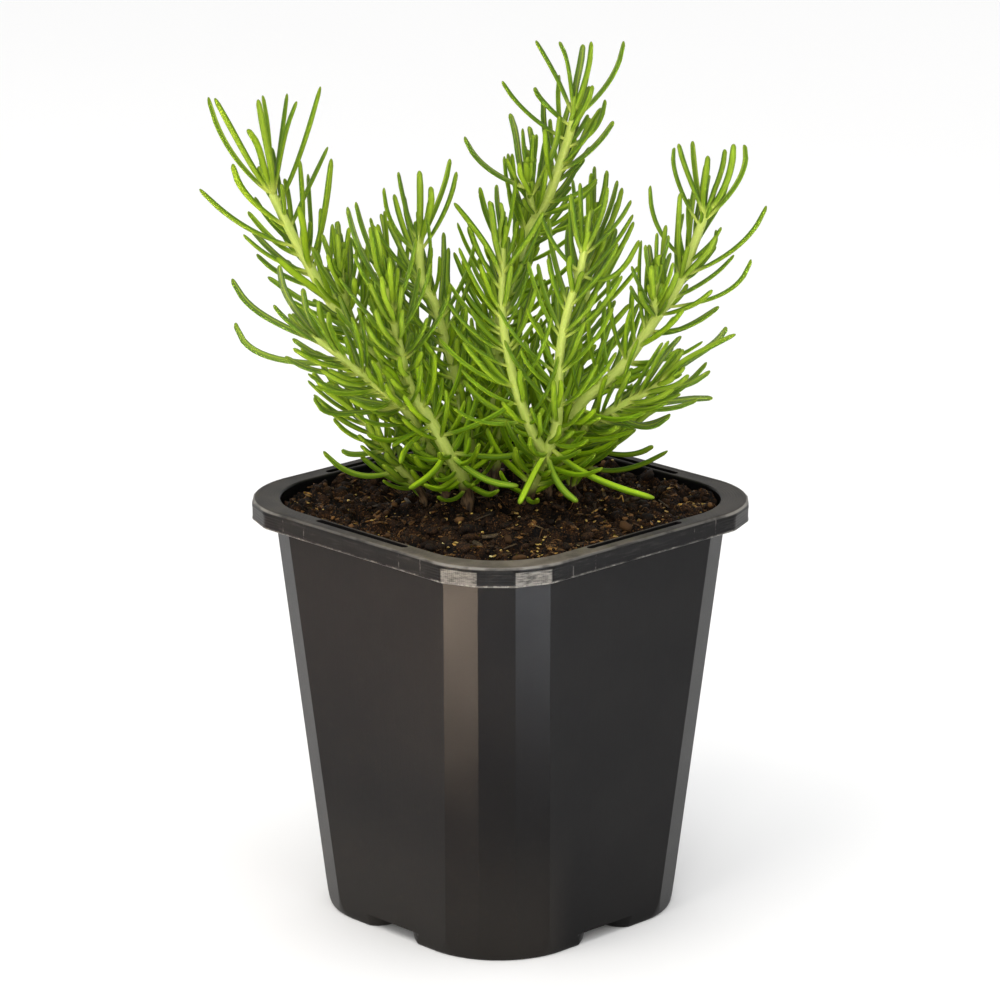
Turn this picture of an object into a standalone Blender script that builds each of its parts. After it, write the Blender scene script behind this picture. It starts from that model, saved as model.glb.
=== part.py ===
"""Potted rosemary: a square nursery pot, its soil and the leafy stems that grow from it.

Metres, +Z up. The origin is on the ground under the middle of the pot, and the pot's sides face X and Y.
The plant is laid out as it is seen over the pot's corner at -X -Y: a point of it is (across, front, up), with
across to the right, front towards that corner and up from the ground.
"""
import math
import random
from typing import NamedTuple

import bmesh
import bpy
import numpy as np

# Pot: walls, rim and base
POT_HEIGHT = 0.1163
WALL_TOP_HALF = 0.0506
WALL_FOOT_HALF = 0.0404
WALL_CORNER = 0.0251
WALL_THICK = 0.0013
FACET_STEP = math.radians(11.25)
RIM_HALF = 0.055
RIM_CORNER = 0.0256
RIM_PLATE = 0.0013
RIM_ROUNDING = 0.0009
SKIRT_HEIGHT = 0.0053
SKIRT_THICK = 0.0012
MOUTH_HALF = 0.0489
MOUTH_CORNER = 0.0231
MOUTH_DEPTH = 0.003
MOUTH_ROUNDING = 0.0006
BASE_THICK = 0.0048
BASE_ROUNDING = 0.0009
CORNER_STEPS = 6

# Label slots through the rim, one in the middle of each side
SLOT_LENGTH = 0.035
SLOT_WIDTH = 0.0022
SLOT_PLACE = 0.0509
SLOT_DEPTH = 0.003
SLOT_STEPS = 5

# Drain channel across the underside, its rounded mouths and its holes
CHANNEL_HALF = 0.0045
CHANNEL_HEIGHT = 0.0034
FOOT_CORNER = 0.0065
FOOT_STEPS = 4
DRAIN_RADIUS = 0.0035
DRAIN_PLACE = 0.020
DRAIN_SIDES = 14

# Soil, with a lumpy top made by waves
CLEARANCE = 0.0003
SOIL_EDGE = 0.1112
SOIL_MOUND = 0.0016
SOIL_EDGE_FALL = 0.0004
SOIL_EDGE_SLACK = 0.0002
SOIL_WAVES = ((0.0007, 410.0, 150.0, 0.4), (0.0006, -190.0, 470.0, 1.9), (0.0005, 640.0, -380.0, 4.1))
SOIL_RINGS = (0.93, 0.80, 0.66, 0.52, 0.38, 0.24, 0.11)
HOLE_FLOOR = 0.1035
HOLE_SIDES = 10

# Needles
NEEDLE_WIDTH = 0.0019
NEEDLE_DEPTH = 0.0013
NEEDLE_REACH = 0.00095
NEEDLE_POINTS = 7
NEEDLE_RINGS = ((0.0, 0.62), (0.5, 1.0), (0.93, 0.66))
NEEDLE_GAP = 0.0004
KIN_GAP = 0.0002
KIN_ROOT = 0.0065
SOIL_GAP = 0.0028
RIM_GAP = 0.0022
AIM_BOW = 0.30
AIM_PUSHES = (0.0, 0.002, -0.002, 0.004, -0.004, 0.006, -0.006, 0.009, -0.009)

# How needles change with the distance below the tip: (distance, value)
SPREAD = ((0.0, 8.0), (0.005, 18.0), (0.015, 38.0), (0.030, 54.0), (0.060, 68.0), (0.100, 80.0))
LENGTH = ((0.0, 0.016), (0.005, 0.020), (0.012, 0.024), (0.030, 0.026), (0.070, 0.024), (0.110, 0.020))
PITCH = ((0.0, 0.0019), (0.022, 0.0046))
LOW_ZONE = 0.020
LOW_LIFT = 0.45
TWIST = 1.0
WOBBLE = 13.0
BEND = 1.35
FRONT_FACING = 0.80
# Tries for a needle whose place is taken: (turn in degrees, lean factor, length factor)
TRIES = (
    (0, 1.0, 1.0), (12, 1.0, 1.0), (-12, 1.0, 1.0), (24, 1.0, 1.0), (-24, 1.0, 1.0), (0, 0.8, 1.0),
    (0, 1.2, 1.0), (38, 1.0, 0.9), (-38, 1.0, 0.9), (0, 0.85, 0.8), (20, 0.9, 0.75), (-20, 0.9, 0.75),
    (0, 1.15, 0.7), (45, 1.0, 0.6), (-45, 1.0, 0.6),
)
SLOT_TAKEN = 0.0026
SLOT_FACING = 0.72

# Stems
STEM_SIDES = 6
STEM_RING_STEP = 0.007
STEM_TIP = 0.6
ROUTE_STEP = 0.0005
STEM_REACH = 0.0019
VIEW_TURN = math.radians(44.05)
VIEW_LIFT = math.radians(16.1)
UP = np.array((0.0, 0.0, 1.0))
VIEW_RAY = np.array((0.0, math.cos(VIEW_LIFT), math.sin(VIEW_LIFT)))

POT_COLOUR = (0.030, 0.028, 0.027, 1.0)
SOIL_COLOUR = (0.030, 0.016, 0.009, 1.0)
NEEDLE_COLOUR = (0.145, 0.320, 0.020, 1.0)


class Shoot(NamedTuple):
    """One leafy shoot: its route from foot to tip, its thickness at both, and how needles clothe it.

    An aimed needle is (distance below the tip, where its own tip lies, how far its middle is drawn aside).
    Down to front_bare below the tip, no needle by the rule grows on the front.
    """

    route: tuple
    thick: tuple
    bare: float
    phase: float = 0.0
    size: float = 1.0
    front_bare: float = 0.0
    aims: tuple = ()


# Leafy stems, each with its side shoots
STEMS = {
    "left_long": (
        Shoot(
            route=(
                (-0.009, -0.003, 0.104), (-0.009, -0.003, 0.11), (-0.009, -0.003, 0.115),
                (-0.0097, -0.001, 0.119), (-0.011, 0.004, 0.124), (-0.0145, 0.008, 0.1315),
                (-0.019, 0.008, 0.14), (-0.024, 0.007, 0.147), (-0.0305, 0.006, 0.1525),
                (-0.039, 0.003, 0.164), (-0.0465, 0, 0.172), (-0.0545, -0.004, 0.1855),
                (-0.0615, -0.006, 0.1995),
            ),
            thick=(0.004, 0.0025), bare=0.015, phase=12, size=1.0, front_bare=0.062,
            aims=(
                (0.0015, (-0.0781, -0.0118, 0.2242), (-0.0049, 0.0006, -0.0029)),
                (0.0015, (-0.076, -0.0038, 0.2255), (0.0005, -0.0002, -0.0036)),
                (0.0015, (-0.0671, 0.0012, 0.2178), (0.0007, -0.0007, 0.0023)),
                (0.0015, (-0.0634, -0.0078, 0.2254), (0.001, 0.0002, -0.0006)),
                (0.002, (-0.0638, -0.0008, 0.2248), (0.0007, -0.0005, 0)),
                (0.002, (-0.057, -0.0108, 0.2255), (-0.0003, 0.0005, -0.0008)),
                (0.002, (-0.0539, -0.0018, 0.2248), (-0.0013, -0.0004, 0.0033)),
                (0.004, (-0.0478, -0.0095, 0.2277), (-0.0007, 0.0004, -0.0082)),
                (0.0115, (-0.046, -0.0097, 0.2111), (-0.0025, 0.0005, -0.0046)),
                (0.0225, (-0.0448, 0.0025, 0.2105), (0.0014, -0.0005, -0.0052)),
                (0.011, (-0.071, 0.0022, 0.2088), (-0.0051, -0.0007, -0.0023)),
                (0.017, (-0.0804, -0.0018, 0.2012), (-0.0024, -0.0002, -0.0045)),
                (0.02, (-0.068, -0.0091, 0.1935), (-0.0015, 0.0006, -0.0028)),
                (0.0245, (-0.0536, 0.004, 0.1975), (-0.0006, -0.0006, -0.0001)),
                (0.036, (-0.0597, -0.0039, 0.1813), (-0.0004, 0.0005, 0.0007)),
                (0.0325, (-0.0494, -0.0049, 0.1833), (-0.0005, 0.0005, -0.0007)),
                (0.084, (-0.0246, 0.0172, 0.1233), (0.0032, -0.0009, -0.0026)),
                (0.0855, (0.0051, 0.0139, 0.1231), (-0.0026, -0.0006, -0.0041)),
                (0.0855, (0.0085, 0.0109, 0.1329), (0.0022, -0.0003, -0.004)),
                (0.0805, (0.0037, 0.0153, 0.1468), (0.0011, -0.0007, -0.0027)),
                (0.078, (-0.0267, 0.0142, 0.1292), (-0.0043, -0.0006, 0.0011)),
                (0.077, (-0.029, 0.0131, 0.1339), (-0.0014, -0.0005, 0.0002)),
            ),
        ),
        Shoot(
            route=(
                (-0.023, 0.007, 0.146), (-0.025, 0.011, 0.153), (-0.0265, 0.015, 0.161),
                (-0.028, 0.018, 0.1685), (-0.029, 0.02, 0.176), (-0.0295, 0.021, 0.182),
            ),
            thick=(0.0024, 0.0017), bare=0.006, phase=0, size=1.0,
            aims=(
                (0.006, (-0.04, 0.024, 0.202)), (0.003, (-0.034, 0.026, 0.197)),
                (0.002, (-0.038, 0.018, 0.202)),
            ),
        ),
        Shoot(
            route=(
                (-0.038, 0.003, 0.163), (-0.0395, 0.006, 0.167), (-0.041, 0.009, 0.173),
                (-0.042, 0.011, 0.179), (-0.042, 0.012, 0.183),
            ),
            thick=(0.0018, 0.0014), bare=0.005, phase=30, size=0.8,
        ),
    ),
    "tall": (
        Shoot(
            route=(
                (-0.002, -0.018, 0.104), (-0.002, -0.018, 0.11), (-0.002, -0.018, 0.115),
                (-0.001, -0.0175, 0.1275), (-0.001, -0.016, 0.1445), (0, -0.014, 0.162),
                (0.0035, -0.012, 0.1765), (0.0065, -0.011, 0.185), (0.01, -0.01, 0.192),
                (0.013, -0.009, 0.1975), (0.0155, -0.008, 0.205), (0.018, -0.008, 0.213),
                (0.0195, -0.008, 0.219),
            ),
            thick=(0.0038, 0.0024), bare=0.016, phase=6, size=1.0, front_bare=0.04,
            aims=(
                (0, (0.0093, -0.012, 0.2392), (-0.0002, 0.0004, 0.0037)),
                (0, (0.0155, -0.005, 0.2401), (0.0014, -0.0003, 0.0054)),
                (0, (0.0221, -0.011, 0.2386), (-0.0005, 0.0003, 0.0015)),
                (0, (0.024, -0.005, 0.2403), (0.0014, -0.0003, -0.0006)),
                (0.0005, (0.0328, -0.011, 0.2394), (0.005, 0.0003, -0.0016)),
                (0.0065, (0.0004, -0.01, 0.2287), (-0.0047, 0.0002, -0.0002)),
                (0.0025, (0.0091, -0.004, 0.2279), (-0.0038, -0.0004, 0.0015)),
                (0.0085, (0.0279, -0.01, 0.2237), (0.0049, 0.0002, -0.0027)),
                (0.0155, (0.0302, -0.0061, 0.2186), (0.0033, -0.0002, -0.0012)),
                (0.0285, (0.0261, -0.013, 0.2008), (-0.0002, 0.0003, -0.0048)),
            ),
        ),
        Shoot(
            route=(
                (0.0095, -0.01, 0.191), (0.008, -0.007, 0.197), (0.0075, -0.005, 0.201),
                (0.0075, -0.004, 0.205),
            ),
            thick=(0.002, 0.0016), bare=0.004, phase=10, size=0.8,
            aims=(
                (0.005, (-0.0096, -0.0023, 0.2152), (-0.0051, -0.0003, -0.0027)),
                (0.0055, (0.0025, -0.0036, 0.2212), (-0.0008, -0.0002, 0.001)),
                (0.0075, (0.0075, -0.0035, 0.2177), (0.0022, -0.0003, 0.0016)),
                (0.008, (0.0156, -0.0047, 0.2203), (0.0038, -0.0002, 0.0006)),
            ),
        ),
        Shoot(
            route=(
                (0.0035, -0.012, 0.176), (0.006, -0.015, 0.181), (0.0075, -0.019, 0.187),
                (0.008, -0.022, 0.194), (0.008, -0.023, 0.198),
            ),
            thick=(0.002, 0.0016), bare=0.005, phase=20, size=0.85,
        ),
    ),
    "right_long": (
        Shoot(
            route=(
                (0.007, -0.008, 0.104), (0.007, -0.008, 0.11), (0.007, -0.008, 0.115),
                (0.0082, -0.006, 0.119), (0.011, -0.002, 0.126), (0.016, 0.003, 0.1355),
                (0.0225, 0.006, 0.145), (0.028, 0.007, 0.15), (0.0335, 0.007, 0.1555),
                (0.0415, 0.005, 0.167), (0.0475, 0.003, 0.176), (0.052, 0, 0.187), (0.0545, -0.001, 0.194),
            ),
            thick=(0.0039, 0.0024), bare=0.015, phase=-12, size=1.0, front_bare=0.062,
            aims=(
                (0.0035, (0.0464, -0.0036, 0.2119), (-0.0055, 0.0003, 0.0044)),
                (0, (0.0472, 0.003, 0.2143), (-0.002, -0.0004, 0.0028)),
                (0.001, (0.0512, -0.0039, 0.2139), (-0.0009, 0.0003, 0)),
                (0.0005, (0.055, 0.0041, 0.2113), (-0.0008, -0.0005, 0.0007)),
                (0.002, (0.0597, -0.0028, 0.2117), (0.002, 0.0002, 0.0019)),
                (0.0005, (0.0616, 0.0031, 0.2143), (0.0051, -0.0004, 0.0018)),
                (0.002, (0.0648, -0.0048, 0.2125), (0.0084, 0.0004, 0.0021)),
                (0.0175, (0.0706, 0.0045, 0.198), (0.0079, -0.0002, -0.0023)),
                (0.027, (0.0665, 0.0084, 0.1843), (0.0098, -0.0004, -0.005)),
                (0.0135, (0.0398, 0.0045, 0.2034), (-0.0063, -0.0003, -0.0006)),
                (0.018, (0.0576, -0.0014, 0.1901), (0.005, 0.0004, -0.0003)),
            ),
        ),
        Shoot(
            route=(
                (0.0415, 0.005, 0.167), (0.041, 0.008, 0.1715), (0.041, 0.01, 0.176),
                (0.0415, 0.011, 0.1805),
            ),
            thick=(0.002, 0.0016), bare=0.004, phase=0, size=0.8,
        ),
    ),
    "front": (
        Shoot(
            route=(
                (0.007, 0, 0.104), (0.007, 0, 0.11), (0.007, 0, 0.115), (0.0082, 0.003, 0.119),
                (0.0105, 0.007, 0.1265), (0.013, 0.011, 0.133), (0.015, 0.012, 0.1395),
                (0.0155, 0.013, 0.148), (0.0155, 0.014, 0.1565), (0.0165, 0.013, 0.1645),
                (0.0185, 0.011, 0.173), (0.021, 0.009, 0.1805), (0.0225, 0.008, 0.188),
            ),
            thick=(0.0036, 0.002), bare=0.014, phase=8, size=1.0, front_bare=0.045,
            aims=(
                (0.058, (0.0049, 0.0196, 0.1196), (-0.0013, -0.0009, -0.0015)),
                (0.0585, (0.0208, 0.0174, 0.1196), (-0.0026, -0.0007, -0.0032)),
                (0.0565, (0.0416, 0.0172, 0.1206), (-0.0036, -0.0006, -0.0036)),
                (0.0545, (0.0234, 0.0176, 0.1372), (0.0002, -0.0006, -0.0041)),
                (0.0595, (-0.0031, 0.0169, 0.1423), (0.0051, -0.0007, 0.0044)),
                (0.0025, (0.0211, 0.0063, 0.2045), (-0.0002, 0.0002, 0.0006)),
                (0.0025, (0.0281, 0.0113, 0.2045), (0.0023, -0.0003, 0.0002)),
                (0.003, (0.0347, 0.0053, 0.1996), (0.0024, 0.0003, -0.0007)),
                (0.003, (0.0187, 0.0123, 0.2026), (-0.0013, -0.0004, -0.0001)),
                (0.008, (0.0367, 0.0131, 0.1907), (0.0021, -0.0004, -0.0106)),
                (0.0075, (0.0107, 0.005, 0.1963), (-0.0032, 0.0004, -0.0009)),
            ),
        ),
        Shoot(
            route=(
                (0.012, 0.01, 0.131), (0.0085, 0.013, 0.138), (0.0045, 0.0135, 0.149),
                (0.002, 0.011, 0.159), (0.0005, 0.008, 0.168), (0.0005, 0.005, 0.1775),
                (0.0005, 0.002, 0.188),
            ),
            thick=(0.003, 0.0019), bare=0.008, phase=60, size=1.0, front_bare=0.045,
            aims=(
                (0.011, (-0.0124, 0.008, 0.1995), (0.002, -0.0003, 0.0017)),
                (0.0075, (-0.0028, 0.009, 0.2001), (-0.0012, -0.0005, 0.0035)),
                (0.0075, (0.0009, 0.002, 0.2011), (-0.0013, 0.0002, 0.0011)),
                (0.0095, (0.0114, 0.0076, 0.1969), (0.001, -0.0003, -0.0002)),
            ),
        ),
    ),
    "mid_left": (
        Shoot(
            route=(
                (-0.007, -0.013, 0.104), (-0.007, -0.013, 0.11), (-0.007, -0.013, 0.115),
                (-0.009, -0.01, 0.132), (-0.012, -0.006, 0.1485), (-0.015, -0.003, 0.1595),
                (-0.0175, -0.001, 0.1695), (-0.0205, 0, 0.175), (-0.0215, 0, 0.1815), (-0.0215, 0, 0.1895),
            ),
            thick=(0.0032, 0.0021), bare=0.014, phase=4, size=1.0, front_bare=0.03,
            aims=(
                (0.006, (-0.0309, 0.003, 0.2025), (-0.0046, -0.0003, -0.0024)),
                (0.003, (-0.0272, -0.003, 0.2055), (-0.0019, 0.0003, 0.0007)),
                (0.003, (-0.0215, 0.002, 0.2069), (0.0003, -0.0002, 0.0003)),
                (0.003, (-0.0134, -0.002, 0.2093), (0.0024, 0.0002, 0.0014)),
                (0.0055, (-0.0117, 0.004, 0.207), (0.0041, -0.0004, 0.0017)),
                (0.004, (-0.0185, 0.006, 0.2034), (0.0014, -0.0006, -0.0003)),
            ),
        ),
    ),
    "left_low": (
        Shoot(
            route=(
                (-0.015, -0.008, 0.104), (-0.015, -0.008, 0.11), (-0.015, -0.008, 0.115),
                (-0.016, -0.006, 0.12), (-0.019, -0.001, 0.129), (-0.023, 0.005, 0.138),
                (-0.028, 0.011, 0.146), (-0.035, 0.016, 0.153), (-0.0425, 0.02, 0.1605),
                (-0.049, 0.022, 0.166),
            ),
            thick=(0.003, 0.0018), bare=0.013, phase=12, size=1.0, front_bare=0.03,
            aims=(
                (0.002, (-0.0711, 0.0136, 0.1803), (-0.0061, 0.0008, -0.0029)),
                (0.012, (-0.0705, 0.011, 0.1677), (-0.0126, 0.0008, -0.0073)),
                (0.0045, (-0.0595, 0.0241, 0.1754), (-0.0038, -0.0003, 0.0002)),
                (0.005, (-0.0583, 0.017, 0.1848), (-0.0055, 0.0004, -0.0003)),
                (0.0055, (-0.0517, 0.0248, 0.1802), (-0.0041, -0.0004, 0.0008)),
                (0.008, (-0.048, 0.0172, 0.1751), (-0.0023, 0.0003, 0.0009)),
                (0.0105, (-0.0523, 0.0265, 0.1643), (-0.0037, -0.0007, -0.0012)),
                (0.027, (-0.0477, 0.017, 0.1565), (-0.0034, -0.0004, -0.0023)),
                (0.012, (-0.0451, 0.022, 0.173), (-0.0028, -0.0003, 0.0008)),
                (0.034, (-0.0496, 0.0135, 0.1478), (-0.0095, -0.0004, -0.0069)),
                (0.0335, (-0.0447, 0.0068, 0.1494), (-0.0032, 0.0003, -0.0027)),
            ),
        ),
    ),
    "right_low": (
        Shoot(
            route=(
                (0.013, -0.013, 0.104), (0.013, -0.013, 0.11), (0.013, -0.013, 0.115),
                (0.0145, -0.011, 0.12), (0.018, -0.006, 0.128), (0.024, 0.001, 0.137),
                (0.031, 0.007, 0.143), (0.038, 0.012, 0.148), (0.044, 0.016, 0.153),
            ),
            thick=(0.003, 0.0018), bare=0.013, phase=-10, size=1.0, front_bare=0.025,
            aims=(
                (0.0265, (0.0455, 0.0068, 0.141), (0.0033, -0.0004, -0.0052)),
                (0.031, (0.0376, -0.0037, 0.1393), (0.0031, 0.0004, -0.0015)),
                (0.0395, (0.0313, 0.0007, 0.1348), (-0.0004, -0.0005, 0.0017)),
                (0.0035, (0.0598, 0.0194, 0.1684), (0.0051, -0.0005, 0.0022)),
                (0.0135, (0.055, 0.0137, 0.1575), (0.0033, -0.0004, -0.0063)),
                (0.0215, (0.0455, 0.0115, 0.1425), (0.0015, -0.0006, -0.0079)),
                (0.003, (0.062, 0.026, 0.168)), (0.014, (0.057, 0.012, 0.147)),
            ),
        ),
    ),
    "soil_left": (
        Shoot(
            route=(
                (-0.021, -0.003, 0.104), (-0.021, -0.003, 0.11), (-0.021, -0.003, 0.115),
                (-0.023, 0, 0.1195), (-0.027, 0.004, 0.125), (-0.0305, 0.006, 0.131),
                (-0.034, 0.005, 0.136), (-0.038, 0.002, 0.139), (-0.042, -0.002, 0.142),
            ),
            thick=(0.0024, 0.0016), bare=0.012, phase=0, size=0.85,
            aims=(
                (0.0255, (-0.0476, 0.0101, 0.1319), (-0.0032, -0.0006, -0.0082)),
                (0.0165, (-0.0447, 0.011, 0.1412), (-0.0023, -0.0005, -0.003)),
                (0.0185, (-0.0426, 0.008, 0.1315), (-0.0038, -0.0002, -0.0025)),
                (0.023, (-0.0332, 0.009, 0.1395), (-0.0005, -0.0004, -0.0014)),
            ),
        ),
    ),
    "soil_right": (
        Shoot(
            route=(
                (0.02, -0.018, 0.104), (0.02, -0.018, 0.11), (0.02, -0.018, 0.115), (0.022, -0.02, 0.119),
                (0.026, -0.023, 0.123), (0.032, -0.028, 0.1265), (0.038, -0.032, 0.13),
            ),
            thick=(0.0024, 0.0016), bare=0.011, phase=0, size=0.8,
            aims=(
                (0.0225, (0.046, -0.0142, 0.1253), (-0.0004, -0.0006, -0.0068)),
                (0.0165, (0.042, -0.021, 0.1248), (0.0042, -0.0002, -0.0039)),
            ),
        ),
    ),
    "back_left": (
        Shoot(
            route=(
                (-0.014, -0.021, 0.104), (-0.014, -0.021, 0.11), (-0.014, -0.021, 0.115),
                (-0.015, -0.023, 0.122), (-0.018, -0.028, 0.134), (-0.023, -0.033, 0.146),
                (-0.028, -0.037, 0.158), (-0.031, -0.039, 0.17),
            ),
            thick=(0.0032, 0.0019), bare=0.012, phase=15, size=1.0,
        ),
    ),
    "back_right": (
        Shoot(
            route=(
                (0.009, -0.024, 0.104), (0.009, -0.024, 0.11), (0.009, -0.024, 0.115),
                (0.01, -0.026, 0.122), (0.014, -0.03, 0.134), (0.019, -0.035, 0.147), (0.023, -0.039, 0.16),
                (0.025, -0.041, 0.173), (0.026, -0.042, 0.182),
            ),
            thick=(0.0032, 0.002), bare=0.012, phase=35, size=1.0,
        ),
    ),
    "back_low": (
        Shoot(
            route=(
                (-0.003, -0.027, 0.104), (-0.003, -0.027, 0.11), (-0.003, -0.027, 0.115),
                (-0.003, -0.03, 0.119), (-0.004, -0.036, 0.127), (-0.005, -0.042, 0.134),
                (-0.005, -0.047, 0.142),
            ),
            thick=(0.0028, 0.0018), bare=0.011, phase=0, size=1.0,
        ),
    ),
}


def unit(vector):
    """Give the vector at length one."""
    return vector / np.linalg.norm(vector)


def read_profile(profile, distance):
    """Read a profile of (distance, value) rows."""
    return float(np.interp(distance, [row[0] for row in profile], [row[1] for row in profile]))


def smooth_route(points):
    """Give even points, ROUTE_STEP apart, on a smooth curve through hand-chosen ones."""
    knots = np.array(points, float)
    knots = np.vstack([2 * knots[0] - knots[1], knots, 2 * knots[-1] - knots[-2]])
    curve = []
    for a, b, c, d in zip(knots[:-3], knots[1:-2], knots[2:-1], knots[3:]):
        for t in np.linspace(0.0, 1.0, 24, endpoint=False):
            bend = (2 * a - 5 * b + 4 * c - d) * t ** 2 + (3 * b - a - 3 * c + d) * t ** 3
            curve.append(b + 0.5 * ((c - a) * t + bend))
    curve = np.array(curve + [knots[-2]])
    run = np.r_[0.0, np.cumsum(np.linalg.norm(np.diff(curve, axis=0), axis=1))]
    even = np.linspace(0.0, run[-1], max(2, round(run[-1] / ROUTE_STEP) + 1))
    return np.stack([np.interp(even, run, curve[:, k]) for k in range(3)], axis=1)


def bent_line(start, middle, end):
    """Give a needle's centre line as a curve from start to end that leans to middle."""
    t = np.linspace(0.0, 1.0, NEEDLE_POINTS)[:, None]
    return (1 - t) ** 2 * start + 2 * t * (1 - t) * middle + t ** 2 * end


def gaps_to_segments(start, end, starts, ends):
    """Give the distances from one segment to many."""
    one = end - start
    many = ends - starts
    apart = start - starts
    a = one @ one
    b = many @ one
    c = np.einsum("ij,ij->i", many, many)
    d = apart @ one
    e = np.einsum("ij,ij->i", many, apart)
    spread = a * c - b * b
    s = np.clip((b * e - c * d) / np.maximum(spread, 1e-18), 0.0, 1.0)
    t = np.clip((b * s + e) / np.maximum(c, 1e-18), 0.0, 1.0)
    s = np.clip((b * t - d) / max(a, 1e-18), 0.0, 1.0)
    return np.linalg.norm(apart + s[:, None] * one - t[:, None] * many, axis=1)


class Axis:
    """A shoot's centre line, with its direction and a sideways direction at every step."""

    def __init__(self, shoot):
        self.shoot = shoot
        self.line = smooth_route(shoot.route)
        self.length = (len(self.line) - 1) * ROUTE_STEP
        along = np.gradient(self.line, axis=0)
        self.along = along / np.linalg.norm(along, axis=1)[:, None]
        side = unit(np.cross(self.along[0], (0.0, 1.0, 0.001)))
        sides = []
        for direction in self.along:
            side = unit(side - direction * (side @ direction))
            sides.append(side)
        self.sides = np.array(sides)

    def at(self, distance):
        """Give the point, the direction and the sideways direction at a distance from the foot."""
        step = min(max(round(distance / ROUTE_STEP), 0), len(self.line) - 1)
        return self.line[step], self.along[step], self.sides[step]

    def radius(self, distance):
        """Give the stem's radius at a distance from the foot."""
        foot, tip = self.shoot.thick
        return 0.5 * (foot + (tip - foot) * min(max(distance / self.length, 0.0), 1.0))


class Space:
    """The room already taken by stems and needles, as segments with a reach round them."""

    def __init__(self):
        self.starts = np.zeros((0, 3))
        self.ends = np.zeros((0, 3))
        self.reach = np.zeros(0)
        self.owner = np.zeros(0, int)

    def take(self, points, reach, owner):
        """Note a line of points as taken."""
        self.starts = np.vstack([self.starts, points[:-1]])
        self.ends = np.vstack([self.ends, points[1:]])
        self.reach = np.r_[self.reach, np.full(len(points) - 1, reach)]
        self.owner = np.r_[self.owner, np.full(len(points) - 1, owner)]

    def has_room(self, points, owner):
        """Say whether a needle along these points is clear of what is there."""
        for start, end in zip(points[1:-1], points[2:]):
            gaps = gaps_to_segments(start, end, self.starts, self.ends) - self.reach - NEEDLE_REACH
            kin = self.owner == owner
            if (gaps[~kin] < NEEDLE_GAP).any():
                return False
            rooted = min(np.linalg.norm(start - points[0]), np.linalg.norm(end - points[0])) < KIN_ROOT
            if not rooted and (gaps[kin] < KIN_GAP).any():
                return False
        return above_pot(points[2:])

    def grow(self, points, owner):
        """Note a needle along these points as taken, but for its root."""
        self.take(points[1:], NEEDLE_REACH, owner)


def to_pot(point):
    """Turn a point (across, front, up) into the pot's X, Y and Z."""
    across, front, up = (float(value) for value in point)
    x = across * math.cos(VIEW_TURN) - front * math.sin(VIEW_TURN)
    y = -across * math.sin(VIEW_TURN) - front * math.cos(VIEW_TURN)
    return x, y, up


def soil_height(x, y):
    """Give the soil's height: a low mound with lumps."""
    share = min(math.hypot(x, y) / MOUTH_HALF, 1.0)
    lumps = sum(size * math.sin(a * x + b * y + turn) for size, a, b, turn in SOIL_WAVES)
    return SOIL_EDGE + SOIL_MOUND * (1.0 - share * share) + lumps


def above_pot(points):
    """Say whether points are clear above the soil and the rim."""
    for point in points:
        x, y, up = to_pot(point)
        far = max(abs(x), abs(y))
        if far < MOUTH_HALF - NEEDLE_REACH and up < soil_height(x, y) + SOIL_GAP:
            return False
        if MOUTH_HALF - NEEDLE_REACH <= far < RIM_HALF + 0.003 and up < POT_HEIGHT + RIM_GAP:
            return False
    return True


def aimed_line(axis, aim, push):
    """Give an aimed needle's centre line, with its tip pushed along the view's ray."""
    root, along, _ = axis.at(axis.length - aim[0])
    end = np.array(aim[1]) + VIEW_RAY * push
    if len(aim) > 2:
        return bent_line(root, 0.5 * (root + end) + np.array(aim[2]), end)
    chord = unit(end - root)
    out = unit(chord - along * (chord @ along))
    length = np.linalg.norm(end - root)
    return bent_line(root, root + unit(chord + AIM_BOW * out) * 0.5 * length, end)


def ruled_line(axis, distance, turn, lean, size):
    """Give a needle's centre line by the rule: out from the stem, then bent up along it."""
    root, along, side = axis.at(distance)
    below = axis.length - distance
    angle = math.radians(turn)
    out = side * math.cos(angle) + np.cross(along, side) * math.sin(angle)
    spread = math.radians(min(read_profile(SPREAD, below) * lean, 95.0))
    low = max(0.0, 1.0 - (root[2] - SOIL_EDGE) / LOW_ZONE)
    first = unit(along * math.cos(spread) + out * math.sin(spread) + UP * LOW_LIFT * low)
    last = unit(first + BEND * unit(along * 0.6 + UP * 0.4))
    half = 0.5 * size * read_profile(LENGTH, below)
    return bent_line(root, root + first * half, root + (first + last) * half)


def grow_aimed(axis, number, space, owner):
    """Grow the shoot's aimed needles where there is room for them."""
    grown = []
    for aim in axis.shoot.aims:
        for push in AIM_PUSHES:
            line = aimed_line(axis, aim, push)
            if space.has_room(line, owner):
                space.grow(line, owner)
                grown.append((number, line))
                break
    return grown


def place_taken(line, number, grown):
    """Say whether an aimed needle already holds this needle's place on the stem."""
    facing = unit(line[1] - line[0])
    for other_number, other in grown:
        near = np.linalg.norm(other[0] - line[0]) < SLOT_TAKEN
        if other_number == number and near and unit(other[1] - other[0]) @ facing > SLOT_FACING:
            return True
    return False


def faces_front(axis, distance, turn):
    """Say whether a needle here would grow on the shoot's bare front."""
    _, along, side = axis.at(distance)
    angle = math.radians(turn)
    out = side * math.cos(angle) + np.cross(along, side) * math.sin(angle)
    return axis.length - distance < axis.shoot.front_bare and out[1] > FRONT_FACING


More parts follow.
